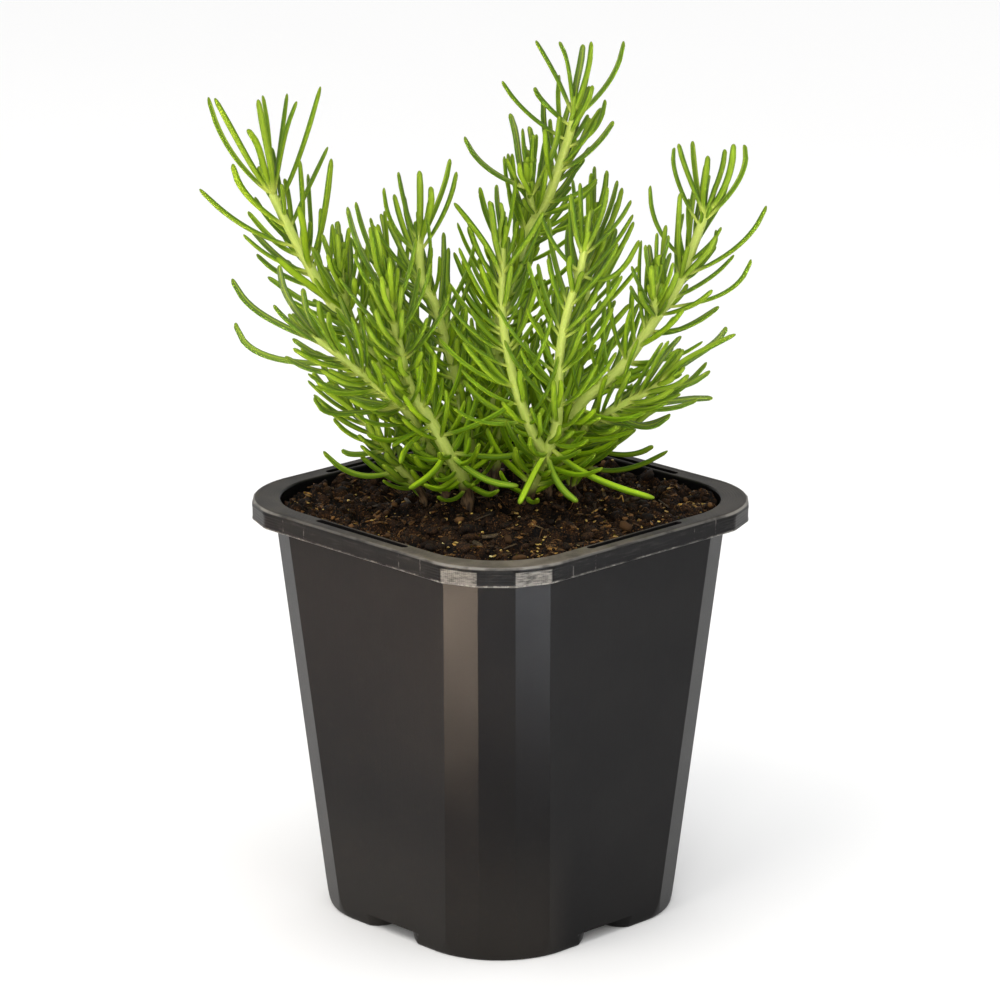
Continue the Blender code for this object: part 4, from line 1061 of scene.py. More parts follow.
class Plant:
    """The whole plant's shoots and needles, grown by the rule and then thickened with finer ones."""

    def __init__(self) -> None:
        """Trace the shoots and note the room that they take."""
        self.space = Space()
        self.axes = {
            name: [Axis(shoot.metres(), owner) for shoot in shoots]
            for owner, (name, shoots) in enumerate(STEMS.items())
        }
        self.needles: dict[str, list[Needle]] = {name: [] for name in self.axes}
        for axes in self.axes.values():
            for axis in axes:
                self.space.take(axis.line[::8], HABIT.stem_reach, axis.owner)

    def grow(self) -> None:
        """Grow aimed needles, then ruled ones, then the finer ones between them."""
        for name, axes in self.axes.items():
            for axis in axes:
                self.needles[name] += self.grow_aimed(axis)
        shown = {name: len(needles) for name, needles in self.needles.items()}
        for owner, (name, axes) in enumerate(self.axes.items()):
            draw = random.Random(RULE_SEED + owner)
            aimed = list(self.needles[name])
            for axis in axes:
                self.needles[name] += self.grow_ruled(axis, aimed, draw)
        main = sum(map(len, self.needles.values()))
        for owner, (name, axes) in enumerate(self.axes.items()):
            draw = random.Random(FINE_SEED + owner)
            for count, needle in enumerate(self.needles[name]):
                needle.age = needle.axis.age(needle.axis.foot_of(needle.line) * HABIT.route_step)
                droop = needle.age * within((FINE.low_below - needle.line[0][2]) / FINE.low_over)
                needle.width = FINE.width * draw.uniform(*FINE.widths) * (1.0 + FINE.low_width * droop)
                if count >= shown[name]:
                    needle.width *= FINE.ruled_width
                needle.tint = draw.random()
            for axis in axes:
                self.needles[name] += self.grow_tip(axis, draw)
                self.needles[name] += self.grow_between(axis, draw)
        LOG.info("needles: %d by the rule, %d in all", main, sum(map(len, self.needles.values())))

    def grow_aimed(self, axis: Axis) -> list[Needle]:
        """Grow the shoot's aimed needles where there is room for them.

        Args:
            axis: the shoot's centre line.

        Returns:
            The new needles.
        """
        grown = []
        for aim in axis.shoot.aims:
            for push in HABIT.pushes:
                line = aimed_line(axis, aim, push)
                if self.space.has_room(line, axis.owner):
                    self.space.take(line[1:], HABIT.reach, axis.owner)
                    grown.append(Needle(axis, line))
                    break
        return grown

    def grow_ruled(self, axis: Axis, aimed: list[Needle], draw: random.Random) -> list[Needle]:
        """Grow crossed pairs of needles from the tip down, each bent clear of what is there.

        Args:
            axis: the shoot's centre line.
            aimed: the stem's aimed needles.
            draw: the stem's random draws.

        Returns:
            The new needles.
        """
        grown = []
        shoot = axis.shoot
        distance = axis.length - HABIT.first
        turn = shoot.phase
        while distance > shoot.bare:
            for half_turn in (0.0, 180.0):
                wobble = draw.uniform(-HABIT.wobble, HABIT.wobble)
                size = draw.uniform(*HABIT.sizes) * shoot.size
                lean = draw.uniform(*HABIT.leans)
                if faces_front(axis, distance, turn + half_turn):
                    continue
                for line in ruled_tries(axis, distance, turn + half_turn + wobble, lean, size, HABIT.tries):
                    if place_taken(line, axis, aimed):
                        break
                    if self.space.has_room(line, axis.owner):
                        self.space.take(line[1:], HABIT.reach, axis.owner)
                        grown.append(Needle(axis, line))
                        break
            distance -= read_profile(HABIT.pitch, axis.length - distance)
            turn += 90.0 + HABIT.twist
        return grown

    def try_fine(self, line: np.ndarray, axis: Axis, reach: float) -> bool:
        """Take room for a finer needle, if it has some inside the solids' box.

        Args:
            line: its centre line.
            axis: its shoot.
            reach: half its thickness.

        Returns:
            True where it has room.
        """
        low, high = CAD_BOX
        for point in (line[3], line[-1]):
            place = to_pot(point)
            if any(not low[k] + FINE.inset < place[k] < high[k] - FINE.inset for k in range(3)):
                return False
        if not self.space.has_room(line, axis.owner, reach, FINE.gap):
            return False
        self.space.take(line[1:], reach, axis.owner)
        return True

    def grow_tip(self, axis: Axis, draw: random.Random) -> list[Needle]:
        """Grow the young leaves that still stand close together at a shoot's tip.

        Args:
            axis: the shoot's centre line.
            draw: the stem's random draws.

        Returns:
            The new needles.
        """
        grown = []
        for level in range(FINE.tip_levels):
            distance = axis.length - FINE.tip_start - FINE.tip_pitch * level
            for quarter in range(4):
                turn = axis.shoot.phase + 45.0 * (level % 2) + 90.0 * quarter
                turn += draw.uniform(-FINE.tip_wobble, FINE.tip_wobble)
                size = draw.uniform(*FINE.tip_sizes) + FINE.tip_growth * level
                line = ruled_line(axis, distance, turn, draw.uniform(*FINE.tip_leans), size * axis.shoot.size)
                if self.try_fine(line, axis, FINE.tip_reach):
                    width = FINE.width * draw.uniform(*FINE.tip_widths)
                    grown.append(Needle(axis, line, width, 0.0, draw.random()))
        return grown

    def grow_between(self, axis: Axis, draw: random.Random) -> list[Needle]:
        """Grow finer needles in the gaps that the rule's crossed pairs leave.

        Args:
            axis: the shoot's centre line.
            draw: the stem's random draws.

        Returns:
            The new needles.
        """
        grown = []
        distance = axis.length - FINE.between_start
        turn = axis.shoot.phase + 45.0
        while distance > axis.shoot.bare - FINE.below_bare:
            for quarter in range(4):
                size = draw.uniform(*FINE.between_sizes) * axis.shoot.size
                lean = draw.uniform(*FINE.between_leans)
                here = turn + 90.0 * quarter + draw.uniform(-FINE.between_wobble, FINE.between_wobble)
                if faces_front(axis, distance, here):
                    continue
                for line in ruled_tries(axis, distance, here, lean, size, FINE.tries):
                    if self.try_fine(line, axis, FINE.reach):
                        width = FINE.width * draw.uniform(*FINE.between_widths)
                        grown.append(Needle(axis, line, width, axis.age(distance), draw.random()))
                        break
            distance -= FINE.between_pitch
            turn += FINE.between_twist
        return grown


def arc(centre: Plane, radius: float, first: float, last: float, steps: int) -> list[Plane]:
    """Give the points of an arc from the first to the last angle, in degrees, in a number of steps."""
    angles = [math.radians(first + (last - first) * k / steps) for k in range(steps + 1)]
    return [(centre[0] + radius * math.cos(a), centre[1] + radius * math.sin(a)) for a in angles]


def turned(point: Plane, quarters: int) -> Plane:
    """Turn a point by a number of quarter turns about the pot's middle."""
    turn = math.radians(90.0 * quarters)
    x, y = point
    return x * math.cos(turn) - y * math.sin(turn), x * math.sin(turn) + y * math.cos(turn)


def four_corners(quarter: Sequence[Plane], height: float) -> list[Point]:
    """Turn one corner's points into all four corners at a height."""
    return [(*turned(point, corner), height) for corner in range(4) for point in quarter]


def stack(name: str, rings: Sequence[Sequence[Point]], smooth: bool = False) -> bpy.types.Object:
    """Make a closed solid through rings that run anticlockwise, from the lowest up."""
    draft = MeshDraft()
    draft.loft([draft.ring(ring) for ring in rings], len(rings[0]))
    return draft.build(name, smooth=smooth)


def prism(name: str, outline: Sequence[Plane], low: float, high: float) -> bpy.types.Object:
    """Make an upright prism over an outline that runs anticlockwise."""
    return stack(name, [[(x, y, height) for x, y in outline] for height in (low, high)])


def settle(thing: bpy.types.Object) -> None:
    """Apply an object's modifiers to its mesh.

    Args:
        thing: the object.
    """
    depsgraph = bpy.context.evaluated_depsgraph_get()
    made = bpy.data.meshes.new_from_object(thing.evaluated_get(depsgraph))
    thing.modifiers.clear()
    thing.data = made


@dataclass
class NurseryPot:
    """The moulded pot: faceted corners, rolled rim with label slots, feet and drain holes.

    Attributes:
        wall_fillet: the roundness of the edges between its facets.
        skirt_fillet: the same on the rim's skirt.
        edge: the bevel on the edges that the cutters leave.
        per_facet: where each of those edges gets its points, from one facet's middle to the next.
        base_rows: rings of the wall's foot, as (height, inset, softness).
        plain_heights: where the rest of the wall has rings.
    """

    sizes: PotSizes = POT
    wall_fillet: float = 0.0011
    skirt_fillet: float = 0.006
    edge: float = 0.00022
    per_facet: tuple = (-0.75, -0.25, 0.25, 0.75)
    base_rows: tuple = (
        (0.0, 0.0006, 1.0), (0.0001, 0.0003, 1.0), (0.0004, 0.0001, 0.95), (0.0009, 0.0, 0.8),
        (0.002, 0.0, 0.45), (0.004, 0.0, 0.15),
    )
    plain_heights: tuple = (0.008, 0.014, 0.03, 0.06, 0.09)

    def ring(self, half: float, corner: float, fillet: Optional[float], height: float) -> list[Point]:
        """Give a ring with flat sides and corners of three facets, or of one arc.

        Args:
            half: half the ring's width.
            corner: the radius of the circle through the facets' edges.
            fillet: the roundness of those edges, or None for a round corner.
            height: the ring's height.

        Returns:
            Its points.
        """
        flat = corner * math.cos(0.5 * FACET)
        fillet = flat if fillet is None else fillet
        centre = half - flat
        quarter = []
        for edge in range(4):
            angle = FACET * (edge + 0.5)
            reach = corner - fillet / math.cos(0.5 * FACET)
            for share in self.per_facet:
                turn = angle + share * 0.5 * FACET
                quarter.append((centre + reach * math.cos(angle) + fillet * math.cos(turn),
                                centre + reach * math.sin(angle) + fillet * math.sin(turn)))
        return four_corners(quarter, height)

    def wall(self, height: float, inset: float = 0.0, soft: float = 0.0) -> list[Point]:
        """Give a ring of the wall, set in from its outside; soft is 0 for facets, 1 for round corners."""
        corner = self.sizes.wall_corner - inset / math.cos(0.5 * FACET)
        fillet = self.wall_fillet + (corner * math.cos(0.5 * FACET) - self.wall_fillet) * soft
        return self.ring(self.sizes.wall_half(height) - inset, corner, fillet, height)

    def rim(self, inset: float, height: float, fillet: Optional[float] = None) -> list[Point]:
        """Give a ring of the rim, set in from its outside."""
        size = self.sizes
        corner = (size.rim_corner - inset) / math.cos(0.5 * FACET)
        return self.ring(size.rim_half - inset, corner, fillet, height)

    def mouth(self, outset: float, height: float) -> list[Point]:
        """Give a ring of the mouth, set out from its inside."""
        size = self.sizes
        corner = (size.mouth_corner + outset) / math.cos(0.5 * FACET)
        return self.ring(size.mouth_half + outset, corner, None, height)

    def rings(self) -> list[list[Point]]:
        """List the rings from the underside up the outside, over the rim and down the inside.

        Returns:
            The rings.
        """
        size, skirt = self.sizes, self.skirt_fillet
        top, inner = size.height, size.skirt_thick
        under, foot = top - size.rim_plate, top - size.skirt_height
        rings = [self.wall(*row) for row in self.base_rows]
        rings += [self.wall(height) for height in (*self.plain_heights, foot - 0.002, under - 0.0009)]
        rings += [self.wall(under - 0.0003, -0.0001), self.wall(under, -0.0006)]
        rings += [self.rim(*row) for row in (
            (inner + 0.0006, under), (inner + 0.0001, under - 0.0003), (inner, under - 0.0009, skirt),
            (inner, foot + 0.0003, skirt), (inner - 0.0002, foot, skirt), (0.00035, foot - 0.00012, skirt),
            (0.00002, foot + 0.0001, skirt), (0.0, foot + 0.00035, skirt), (0.0001, foot + 0.0007, skirt),
            (0.00008, top - 0.0021, skirt), (0.0, top - 0.0017, skirt), (0.0, top - 0.0009, 1.6 * skirt),
            (0.00008, top - 0.0005), (0.00028, top - 0.00024), (0.00055, top - 0.00008),
            (0.0009, top), (0.0014, top), (0.0016, top - 0.00008),
        )]
        rings += [self.mouth(*row) for row in (
            (0.0016, top - 0.0001), (0.0006, top - 0.0001), (0.0004, top - 0.00016), (0.00015, top - 0.0004),
            (0.0, top - 0.0008),
        )]
        inside = (top - size.mouth_depth, 0.08, size.base_thick)
        return rings + [self.wall(height, size.wall_thick) for height in inside]

    def channel(self) -> list[list[Point]]:
        """List the rings of the crossed channel, which widens downwards and leaves four rounded feet.

        Returns:
            The rings, from the lowest up.
        """
        size = self.sizes
        radius, beyond = size.channel_turn, size.wall_foot + 0.004
        edge = size.wall_foot + 0.0002 - radius
        rings = []
        for share in (-0.6, 0.0, 0.015, 0.05, 0.11, 0.20, 0.33, 0.50, 0.72, 1.0):
            deep = 1.0 - max(share, 0.0)
            turn = size.channel_half + size.foot_round * (1.0 - math.sqrt(1.0 - deep * deep)) + radius
            quarter = [(beyond, turn)] + arc((edge, turn), radius, 0.0, -90.0, 10)
            quarter += arc((turn, turn), radius, 270.0, 180.0, 10)
            quarter += arc((turn, edge), radius, 180.0, 90.0, 10) + [(turn, beyond)]
            rings.append(four_corners(quarter, share * size.channel_height))
        return rings

    def cutters(self) -> list[bpy.types.Object]:
        """Make the shapes cut out of the pot: label slots, the crossed channel and the drain holes.

        Returns:
            The shapes.
        """
        size = self.sizes
        radius = 0.5 * size.slot_width
        reach = 0.5 * size.slot_length - radius
        slot = arc((reach, size.slot_place), radius, -90.0, 90.0, 10)
        slot += arc((-reach, size.slot_place), radius, 90.0, 270.0, 10)
        made = []
        for side in range(4):
            cutter = prism("slot_cutter_%d" % side, slot, size.height - size.slot_depth, size.height + 0.002)
            cutter.rotation_euler = (0.0, 0.0, math.radians(90.0 * side))
            made.append(cutter)
        made.append(stack("channel_cutter", self.channel(), smooth=True))
        for number in range(5):
            centre = turned((size.drain_place, 0.0), number) if number < 4 else (0.0, 0.0)
            hole = arc(centre, size.drain_radius, 0.0, 360.0, 36)[:-1]
            made.append(prism("drain_cutter_%d" % number, hole, -0.004, size.base_thick + 0.004))
        return made

    def build(self, finish: bpy.types.Material) -> None:
        """Build the pot and give it its finish.

        Args:
            finish: its material.
        """
        pot = stack("nursery_pot", self.rings(), smooth=True)
        cutters = self.cutters()
        for cutter in cutters:
            cut = pot.modifiers.new(cutter.name, "BOOLEAN")
            cut.operation = "DIFFERENCE"
            cut.object = cutter
        settle(pot)
        for cutter in cutters:
            bpy.data.objects.remove(cutter)
        bevel = pot.modifiers.new("Soft edges", "BEVEL")
        bevel.width = self.edge
        bevel.segments = 2
        bevel.limit_method = "ANGLE"
        bevel.angle_limit = math.radians(50.0)
        smooth = pot.modifiers.new("Even shading", "WEIGHTED_NORMAL")
        smooth.keep_sharp = False
        smooth.weight = 80
        settle(pot)
        dress(pot, finish, Slot.POT, "pot")


@dataclass(frozen=True)
class PotPlastic(Finish):
    """Black recycled polypropylene: satin, faintly clouded, scuffed along the rim's edges, with a painted
    highlight along the rim's upper edge and a painted reflection low on the left face.

    Pairs of numbers are where a mask begins and where it is full, with its values there after them.

    Attributes:
        dust_and_reflection: the tone of dust on top of the rim, and of the painted reflection, a lighter warm
            tone, low on the left face.
        scuff_and_highlight: its tone where it is rubbed, and of the painted highlight along the rim's upper
            edge.
        satin: its least and greatest roughness.
        dull: how much rougher it is where it is rubbed, and on top of the rim.
        corner_centre: where the rim's corners have their centre, along X and Y.
        seams: how far the mould's seams lie from the middle of a side.
        facet: the inner and the outer edges of a corner's two outer facets, in radians from its middle.
        hatch, ridge, swirl: the lengths of the waves on the facets, round the skirt and on the rim's top.
    """

    title: str = "nursery_pot_plastic"
    dark: tuple = (0.0044, 0.0041, 0.0043, 1.0)
    middle: tuple = (0.0056, 0.0052, 0.0052, 1.0)
    light: tuple = (0.0074, 0.0068, 0.0064, 1.0)
    dust_and_reflection: tuple = (0.160, 0.136, 0.110, 1.0)
    scuff_and_highlight: tuple = (0.25, 0.235, 0.21, 1.0)
    specular: float = 0.105
    satin: tuple = (0.29, 0.32)
    dull: float = 0.22
    corner_centre: float = 0.0294
    skirt_reach: tuple = (0.0241, 0.0247)
    corner_reach: tuple = (0.080, 0.091)
    painted_reflection_heights: tuple = (0.045, 0.002, 0.0, 0.075)
    painted_reflection_left: tuple = (-0.012, -0.024)
    seams: tuple = (0.0186, 0.0268)
    seam_width: tuple = (0.00020, 0.00010)
    facet: tuple = ((0.186, 0.206), (0.599, 0.579))
    rubbed_front: tuple = (-0.070, -0.076, 0.12, 1.0)
    hatch: float = 0.00055
    ridge: float = 0.00078
    swirl: float = 0.0008
    relief: float = 0.00006

    def paint(self, nodes: Nodes, effects: Effects) -> dict[str, object]:
        """Give the colour, the roughness and the relief.

        Args:
            nodes: the material's nodes.
            effects: the effects that materials share.

        Returns:
            What the shader's inputs get.
        """
        top, foot = POT.height, POT.height - POT.skirt_height
        place = nodes.place()
        x, y, height = nodes.split(place)
        over_x, over_y = abs(x) - self.corner_centre, abs(y) - self.corner_centre
        reach = nodes.math("SQRT", self.squared(nodes, over_x) + self.squared(nodes, over_y))
        skirt = nodes.step(height, foot - 0.0003, foot - 0.0001) * nodes.step(reach, *self.skirt_reach)
        corner = nodes.step(abs(x) + abs(y), *self.corner_reach)
        flat_top = nodes.step(height, top - 0.0004, top - 0.00006)
        speck = nodes.step(nodes.noise(place, 620.0, 3.0, 0.6), 0.46, 0.62)
        # rubbing, flash and seams, with a painted highlight along the rim's upper edge
        scuffs_and_highlight = skirt * nodes.greatest(
            *self.edge_wear_and_highlight(nodes, place, height, corner, speck),
            self.rubbing(nodes, nodes.math("ARCTAN2", over_y, over_x), x + y, height),
            self.seam_lines(nodes, nodes.math("MINIMUM", abs(x), abs(y)), speck),
        )
        cloud, _ = effects.mottle.use(
            nodes, Place=place, Scale=46.0, Dark=self.dark, Middle=self.middle, Light=self.light, Amount=0.35,
        )
        # dust on the rim's top, and a painted reflection: a lighter warm tone low on the left face
        dust_and_reflection_mask = self.dust_and_reflection_mask(nodes, place, x, y, height, flat_top)
        rough = nodes.step(nodes.noise(place, 70.0, 4.0, 0.6), 0.3, 0.7, *self.satin)
        streak = nodes.noise(self.stretched(nodes, place), 900.0, 2.0)
        relief = nodes.noise(place, 2600.0, 4.0, 0.6) * 0.6 + streak * 0.25
        relief = relief + nodes.wave(height, self.ridge) * skirt * corner * 0.5
        relief = relief + nodes.wave(reach, self.swirl) * flat_top * 0.35 + scuffs_and_highlight * 0.8
        return {
            "Base Color": nodes.mix(scuffs_and_highlight, nodes.mix(dust_and_reflection_mask, cloud, self.dust_and_reflection), self.scuff_and_highlight),
            "Roughness": rough + nodes.greatest(scuffs_and_highlight, flat_top) * self.dull,
            "Normal": nodes.bump(relief, self.relief),
        }

    @staticmethod
    def squared(nodes: Nodes, value: Signal) -> Signal:
        """Give the square of a value, or nothing where it is negative."""
        return nodes.math("POWER", nodes.greatest(value, 0.0), 2.0)

    @staticmethod
    def stretched(nodes: Nodes, place: Signal) -> Signal:
        """Give the place squeezed along Z, which draws a texture out into upright streaks."""
        return nodes.result(0, "ShaderNodeMapping", {"Vector": place, "Scale": (1.0, 1.0, 0.06)})

    def dust_and_reflection_mask(self, nodes: Nodes, place: Signal, x: Signal, y: Signal, height: Signal,
             flat_top: Signal) -> Signal:
        """Give where the plastic is dusty, on top of the rim in front, and where a painted reflection
        lightens it low on the left face.

        Args:
            nodes: the material's nodes.
            place: the place on the pot.
            x: its first number.
            y: its second number.
            height: its third number.
            flat_top: 1 on top of the rim.

        Returns:
            0 for plain plastic, 1 for the full tone of dust and painted reflection.
        """
        patchy = nodes.step(nodes.noise(place, 150.0, 5.0, 0.65), 0.25, 0.75, 0.35, 1.0)
        front = nodes.step(x + y, -0.040, -0.085, 0.25, 1.0)
        # painted reflection: lighter and warmer towards the foot of the left face, standing in for reflected
        # light
        low = nodes.step(height, *self.painted_reflection_heights) * nodes.step(x, *self.painted_reflection_left)
        return nodes.greatest(flat_top * patchy * front, low)

    @staticmethod
    def edge_wear_and_highlight(nodes: Nodes, place: Signal, height: Signal, corner: Signal,
                  speck: Signal) -> Sequence[Signal]:
        """Give the pale wear along the skirt's lower edge, and a pale line along the rim's upper edge that is
        partly wear and partly a painted highlight.

        Args:
            nodes: the material's nodes.
            place: the place.
            height: the place's height.
            corner: how near it is to a corner.
            speck: fine dots.

        Returns:
            How strong each is.
        """
        top, foot = POT.height, POT.height - POT.skirt_height
        line = nodes.step(nodes.noise(place, 210.0, 2.0), 0.30, 0.55)
        flash = nodes.step(height, foot + 0.0006, foot + 0.0002) * line
        flash = flash * (speck + 0.45) * (corner * 0.50 + 0.50)
        # pale line on the rim's rounded upper edge: wear, and a painted highlight, strongest at the corners
        crest_highlight = nodes.step(height, top - 0.00085, top - 0.0005)
        crest_highlight = crest_highlight * nodes.step(height, top - 0.00006, top - 0.0002)
        crest_highlight = crest_highlight * (line * 0.20 + 0.10) * (corner * 1.6 + 1.0)
        return flash, crest_highlight

    def rubbing(self, nodes: Nodes, turn: Signal, front: Signal, height: Signal) -> Signal:
        """Give the whitish rubbing on the skirt over each corner's two outer facets.

        Args:
            nodes: the material's nodes.
            turn: the place's direction from the corner's centre.
            front: the sum of its X and Y.
            height: its height.

        Returns:
            How strongly the plastic is rubbed.
        """
        aside = abs(turn - math.pi / 4.0)
        inner, outer = self.facet
        facet = nodes.step(aside, *inner) * nodes.step(aside, *outer)
        band = nodes.step(height, POT.height - 0.00125, POT.height - 0.0016)
        round_skirt = nodes.gather(turn * 0.005, 0.0, height)
        streak = nodes.step(nodes.noise(round_skirt, 1500.0, 4.0, 0.65), 0.34, 0.62)
        hatch = nodes.wave(turn, self.hatch / POT.rim_corner)
        worn = (streak * 0.55 + hatch * 0.06 + 0.15) * facet * band * nodes.step(front, *self.rubbed_front)
        faint = nodes.step(nodes.noise(round_skirt, 900.0, 5.0, 0.7), 0.5, 0.8) * 0.10
        return nodes.greatest(worn, faint)

    def seam_lines(self, nodes: Nodes, near: Signal, speck: Signal) -> Signal:
        """Give the upright mould seams beside the label slots, broken into dots."""
        lines = [nodes.step(abs(near - seam), *self.seam_width) for seam in self.seams]
        return nodes.greatest(*lines) * (speck * 0.32)


@dataclass(frozen=True)
class LooseMatter(Finish):
    """A kind of thing in or on the compost: its tones, how fine they change, and how deep its relief is."""

    title: str
    dark: tuple
    middle: tuple
    light: tuple
    scale: float
    roughness: float
    depth: float
    specular: float = 0.3

    def paint(self, nodes: Nodes, effects: Effects) -> dict[str, object]:
        """Give the colour, with a shade of its own for each bit and painted shade in the compost block's
        hollows, the roughness and the relief.

        Args:
            nodes: the material's nodes.
            effects: the effects that materials share.

        Returns:
            What the shader's inputs get.
        """
        place, tint = nodes.place(), nodes.value("tint")
        cloud, mask = effects.mottle.use(
            nodes, Place=place, Scale=self.scale,
            Dark=self.dark, Middle=self.middle, Light=self.light, Amount=0.8,
        )
        # the tint darkens each bit at random, and on the compost block it is painted shade in the hollows
        shade = nodes.mix(nodes.step(tint, 0.0, 1.0, 0.0, 0.75), cloud, self.dark)
        grain, = effects.grain.use(nodes, Place=place, Scale=self.scale * 5.0, Depth=self.depth)
        return {
            "Base Color": nodes.mix(nodes.step(tint, 0.86, 1.0, 0.0, 0.8), shade, self.light),
            "Roughness": nodes.step(mask, 0.3, 0.7, self.roughness - 0.12, self.roughness + 0.08),
            "Normal": grain,
        }


SOIL_MIX = LooseMatter("compost_mix", (0.0009, 0.0006, 0.0005, 1.0), (0.0175, 0.0082, 0.0036, 1.0),
                       (0.150, 0.066, 0.020, 1.0), 330.0, 0.88, 0.00030, 0.12)
CRUMB = LooseMatter("compost_crumbs", (0.0014, 0.0009, 0.0007, 1.0), (0.026, 0.012, 0.0050, 1.0),
                    (0.165, 0.082, 0.030, 1.0), 600.0, 0.85, 0.00012, 0.15)
BARK = LooseMatter("bark_chips", (0.004, 0.0020, 0.0011, 1.0), (0.120, 0.050, 0.013, 1.0),
                   (0.60, 0.310, 0.065, 1.0), 900.0, 0.74, 0.00020, 0.2)
FIBRE = LooseMatter("coir_fibres", (0.010, 0.0045, 0.0020, 1.0), (0.15, 0.064, 0.015, 1.0),
                    (0.60, 0.34, 0.075, 1.0), 500.0, 0.66, 0.00005, 0.25)
GRIT = LooseMatter("pale_grit", (0.26, 0.150, 0.03, 1.0), (0.66, 0.450, 0.09, 1.0),
                   (0.92, 0.80, 0.38, 1.0), 700.0, 0.50, 0.00004, 0.4)
DRIED = LooseMatter("dried_leaves", (0.022, 0.014, 0.007, 1.0), (0.075, 0.048, 0.020, 1.0),
                    (0.20, 0.14, 0.06, 1.0), 400.0, 0.75, 0.00006, 0.3)


@dataclass(frozen=True)
class LeafSkin(Finish):
    """The needles' skin: satin green above with a pale midrib, dull and paler beneath, with painted shade
    along the rolled edges and a painted highlight along the midline.
    """

    title: str = "rosemary_needles"
    young: tuple = (0.106, 0.142, 0.048, 1.0)
    old: tuple = (0.270, 0.500, 0.001, 1.0)
    # the tone of the darker needles, and of the painted shade along every needle's rolled edges
    edge: tuple = (0.062, 0.132, 0.001, 1.0)
    # the tone of the pale midrib, and of the painted highlight along each needle's midline
    rib: tuple = (0.400, 0.540, 0.026, 1.0)
    under: tuple = (0.230, 0.350, 0.008, 1.0)
    root: tuple = (0.600, 0.660, 0.130, 1.0)
    tip: tuple = (0.150, 0.220, 0.010, 1.0)
    specular: float = 0.12
    shine: tuple = (0.40, 0.54)
    dull_under: float = 0.2

    def paint(self, nodes: Nodes, effects: Effects) -> dict[str, object]:
        """Give the colour, the roughness and the relief.

        Args:
            nodes: the material's nodes.
            effects: the effects that materials share.

        Returns:
            What the shader's inputs get.
        """
        place = nodes.place()
        along, side, under, tint, age = (nodes.value(name) for name in NEEDLE_VALUES)
        years = nodes.step(age * 0.62 + tint * 0.45, 0.15, 1.0)
        blade = nodes.mix(years, self.young, self.old)
        blade, _ = effects.mottle.use(
            nodes, Place=place, Scale=330.0, Dark=blade, Middle=blade, Light=self.rib, Amount=0.35,
        )
        layers = (
            (nodes.step(tint, 0.38, 0.0, 0.0, 0.48), self.edge),
            (nodes.step(tint, 0.50, 1.0, 0.0, 0.45), self.rib),
            # painted shade: each needle darker towards its rolled edges
            (nodes.step(side, 0.44, 0.92, 0.0, 0.84), self.edge),
            # pale midrib, with a painted highlight along the midline
            (nodes.step(side, 0.34, 0.06, 0.0, 0.46), self.rib),
            (under * 0.55, self.under),
            (nodes.step(along, 0.22, 0.02, 0.0, 0.80), self.root),
            (nodes.step(along, 0.90, 0.995, 0.0, 0.75), self.tip),
        )
        for share, tone in layers:
            blade = nodes.mix(share, blade, tone)
        rough = nodes.step(nodes.noise(place, 500.0, 3.0), 0.3, 0.7, *self.shine)
        grain, = effects.grain.use(nodes, Place=place, Scale=1500.0, Depth=0.00002)
        return {"Base Color": blade, "Roughness": rough + under * self.dull_under, "Normal": grain}


@dataclass(frozen=True)
class StemSkin(Finish):
    """The stems' skin: pale ribbed green above, brown and cracked at the foot.

    fibre_turn and fibre_run say how often its fibres change round the stem and along it.
    """

    title: str = "rosemary_stems"
    green: tuple = (0.480, 0.565, 0.110, 1.0)
    pale: tuple = (0.620, 0.665, 0.235, 1.0)
    deep: tuple = (0.340, 0.480, 0.050, 1.0)
    wood: tuple = (0.150, 0.092, 0.045, 1.0)
    dark_wood: tuple = (0.036, 0.022, 0.012, 1.0)
    specular: float = 0.35
    fibre_turn: float = 0.9
    fibre_run: float = 110.0
    satin: tuple = (0.42, 0.62)
    relief: float = 0.00022

    def paint(self, nodes: Nodes, effects: Effects) -> dict[str, object]:
        """Give the colour, the roughness and the relief.

        Args:
            nodes: the material's nodes.
            effects: the effects that materials share.

        Returns:
            What the shader's inputs get.
        """
        turn_x, turn_y = nodes.value("turn_x") * self.fibre_turn, nodes.value("turn_y") * self.fibre_turn
        fibres = nodes.noise(nodes.gather(turn_x, turn_y, nodes.value("run") * self.fibre_run), 3.2, 4.0, 0.6)
        skin, _ = effects.mottle.use(
            nodes, Place=nodes.place(), Scale=260.0,
            Dark=self.green, Middle=self.green, Light=self.pale, Amount=0.6,
        )
        skin = nodes.mix(nodes.step(fibres, 0.58, 0.36, 0.0, 0.45), skin, self.deep)
        bark = nodes.mix(nodes.step(fibres, 0.38, 0.62), self.dark_wood, self.wood)
        woody = nodes.step(nodes.value("woody") + fibres * 0.5, 0.55, 1.05)
        return {
            "Base Color": nodes.mix(woody, skin, bark),
            "Roughness": nodes.step(fibres, 0.3, 0.7, *self.satin),
            "Normal": nodes.bump(fibres, self.relief),
        }


@dataclass(frozen=True)
class FloorPaint(Finish):
    """The studio floor's matt white."""

    title: str = "studio_floor_white"
    specular: float = 0.2
    tones: tuple = ((0.93, 0.93, 0.93, 1.0), (0.95, 0.95, 0.95, 1.0))

    def paint(self, nodes: Nodes, effects: Effects) -> dict[str, object]:
        """Give the colour and the roughness."""
        return {"Base Color": nodes.mix(nodes.noise(nodes.place(), 3.0, 2.0), *self.tones), "Roughness": 0.9}


LUMP_TILT, LUMP_ROLL, LUMP_SHIFT, LUMP_BLUNT = 0.35, 0.6, 0.1, 2.6
LUMP_BULGE = (0.72, 1.12)


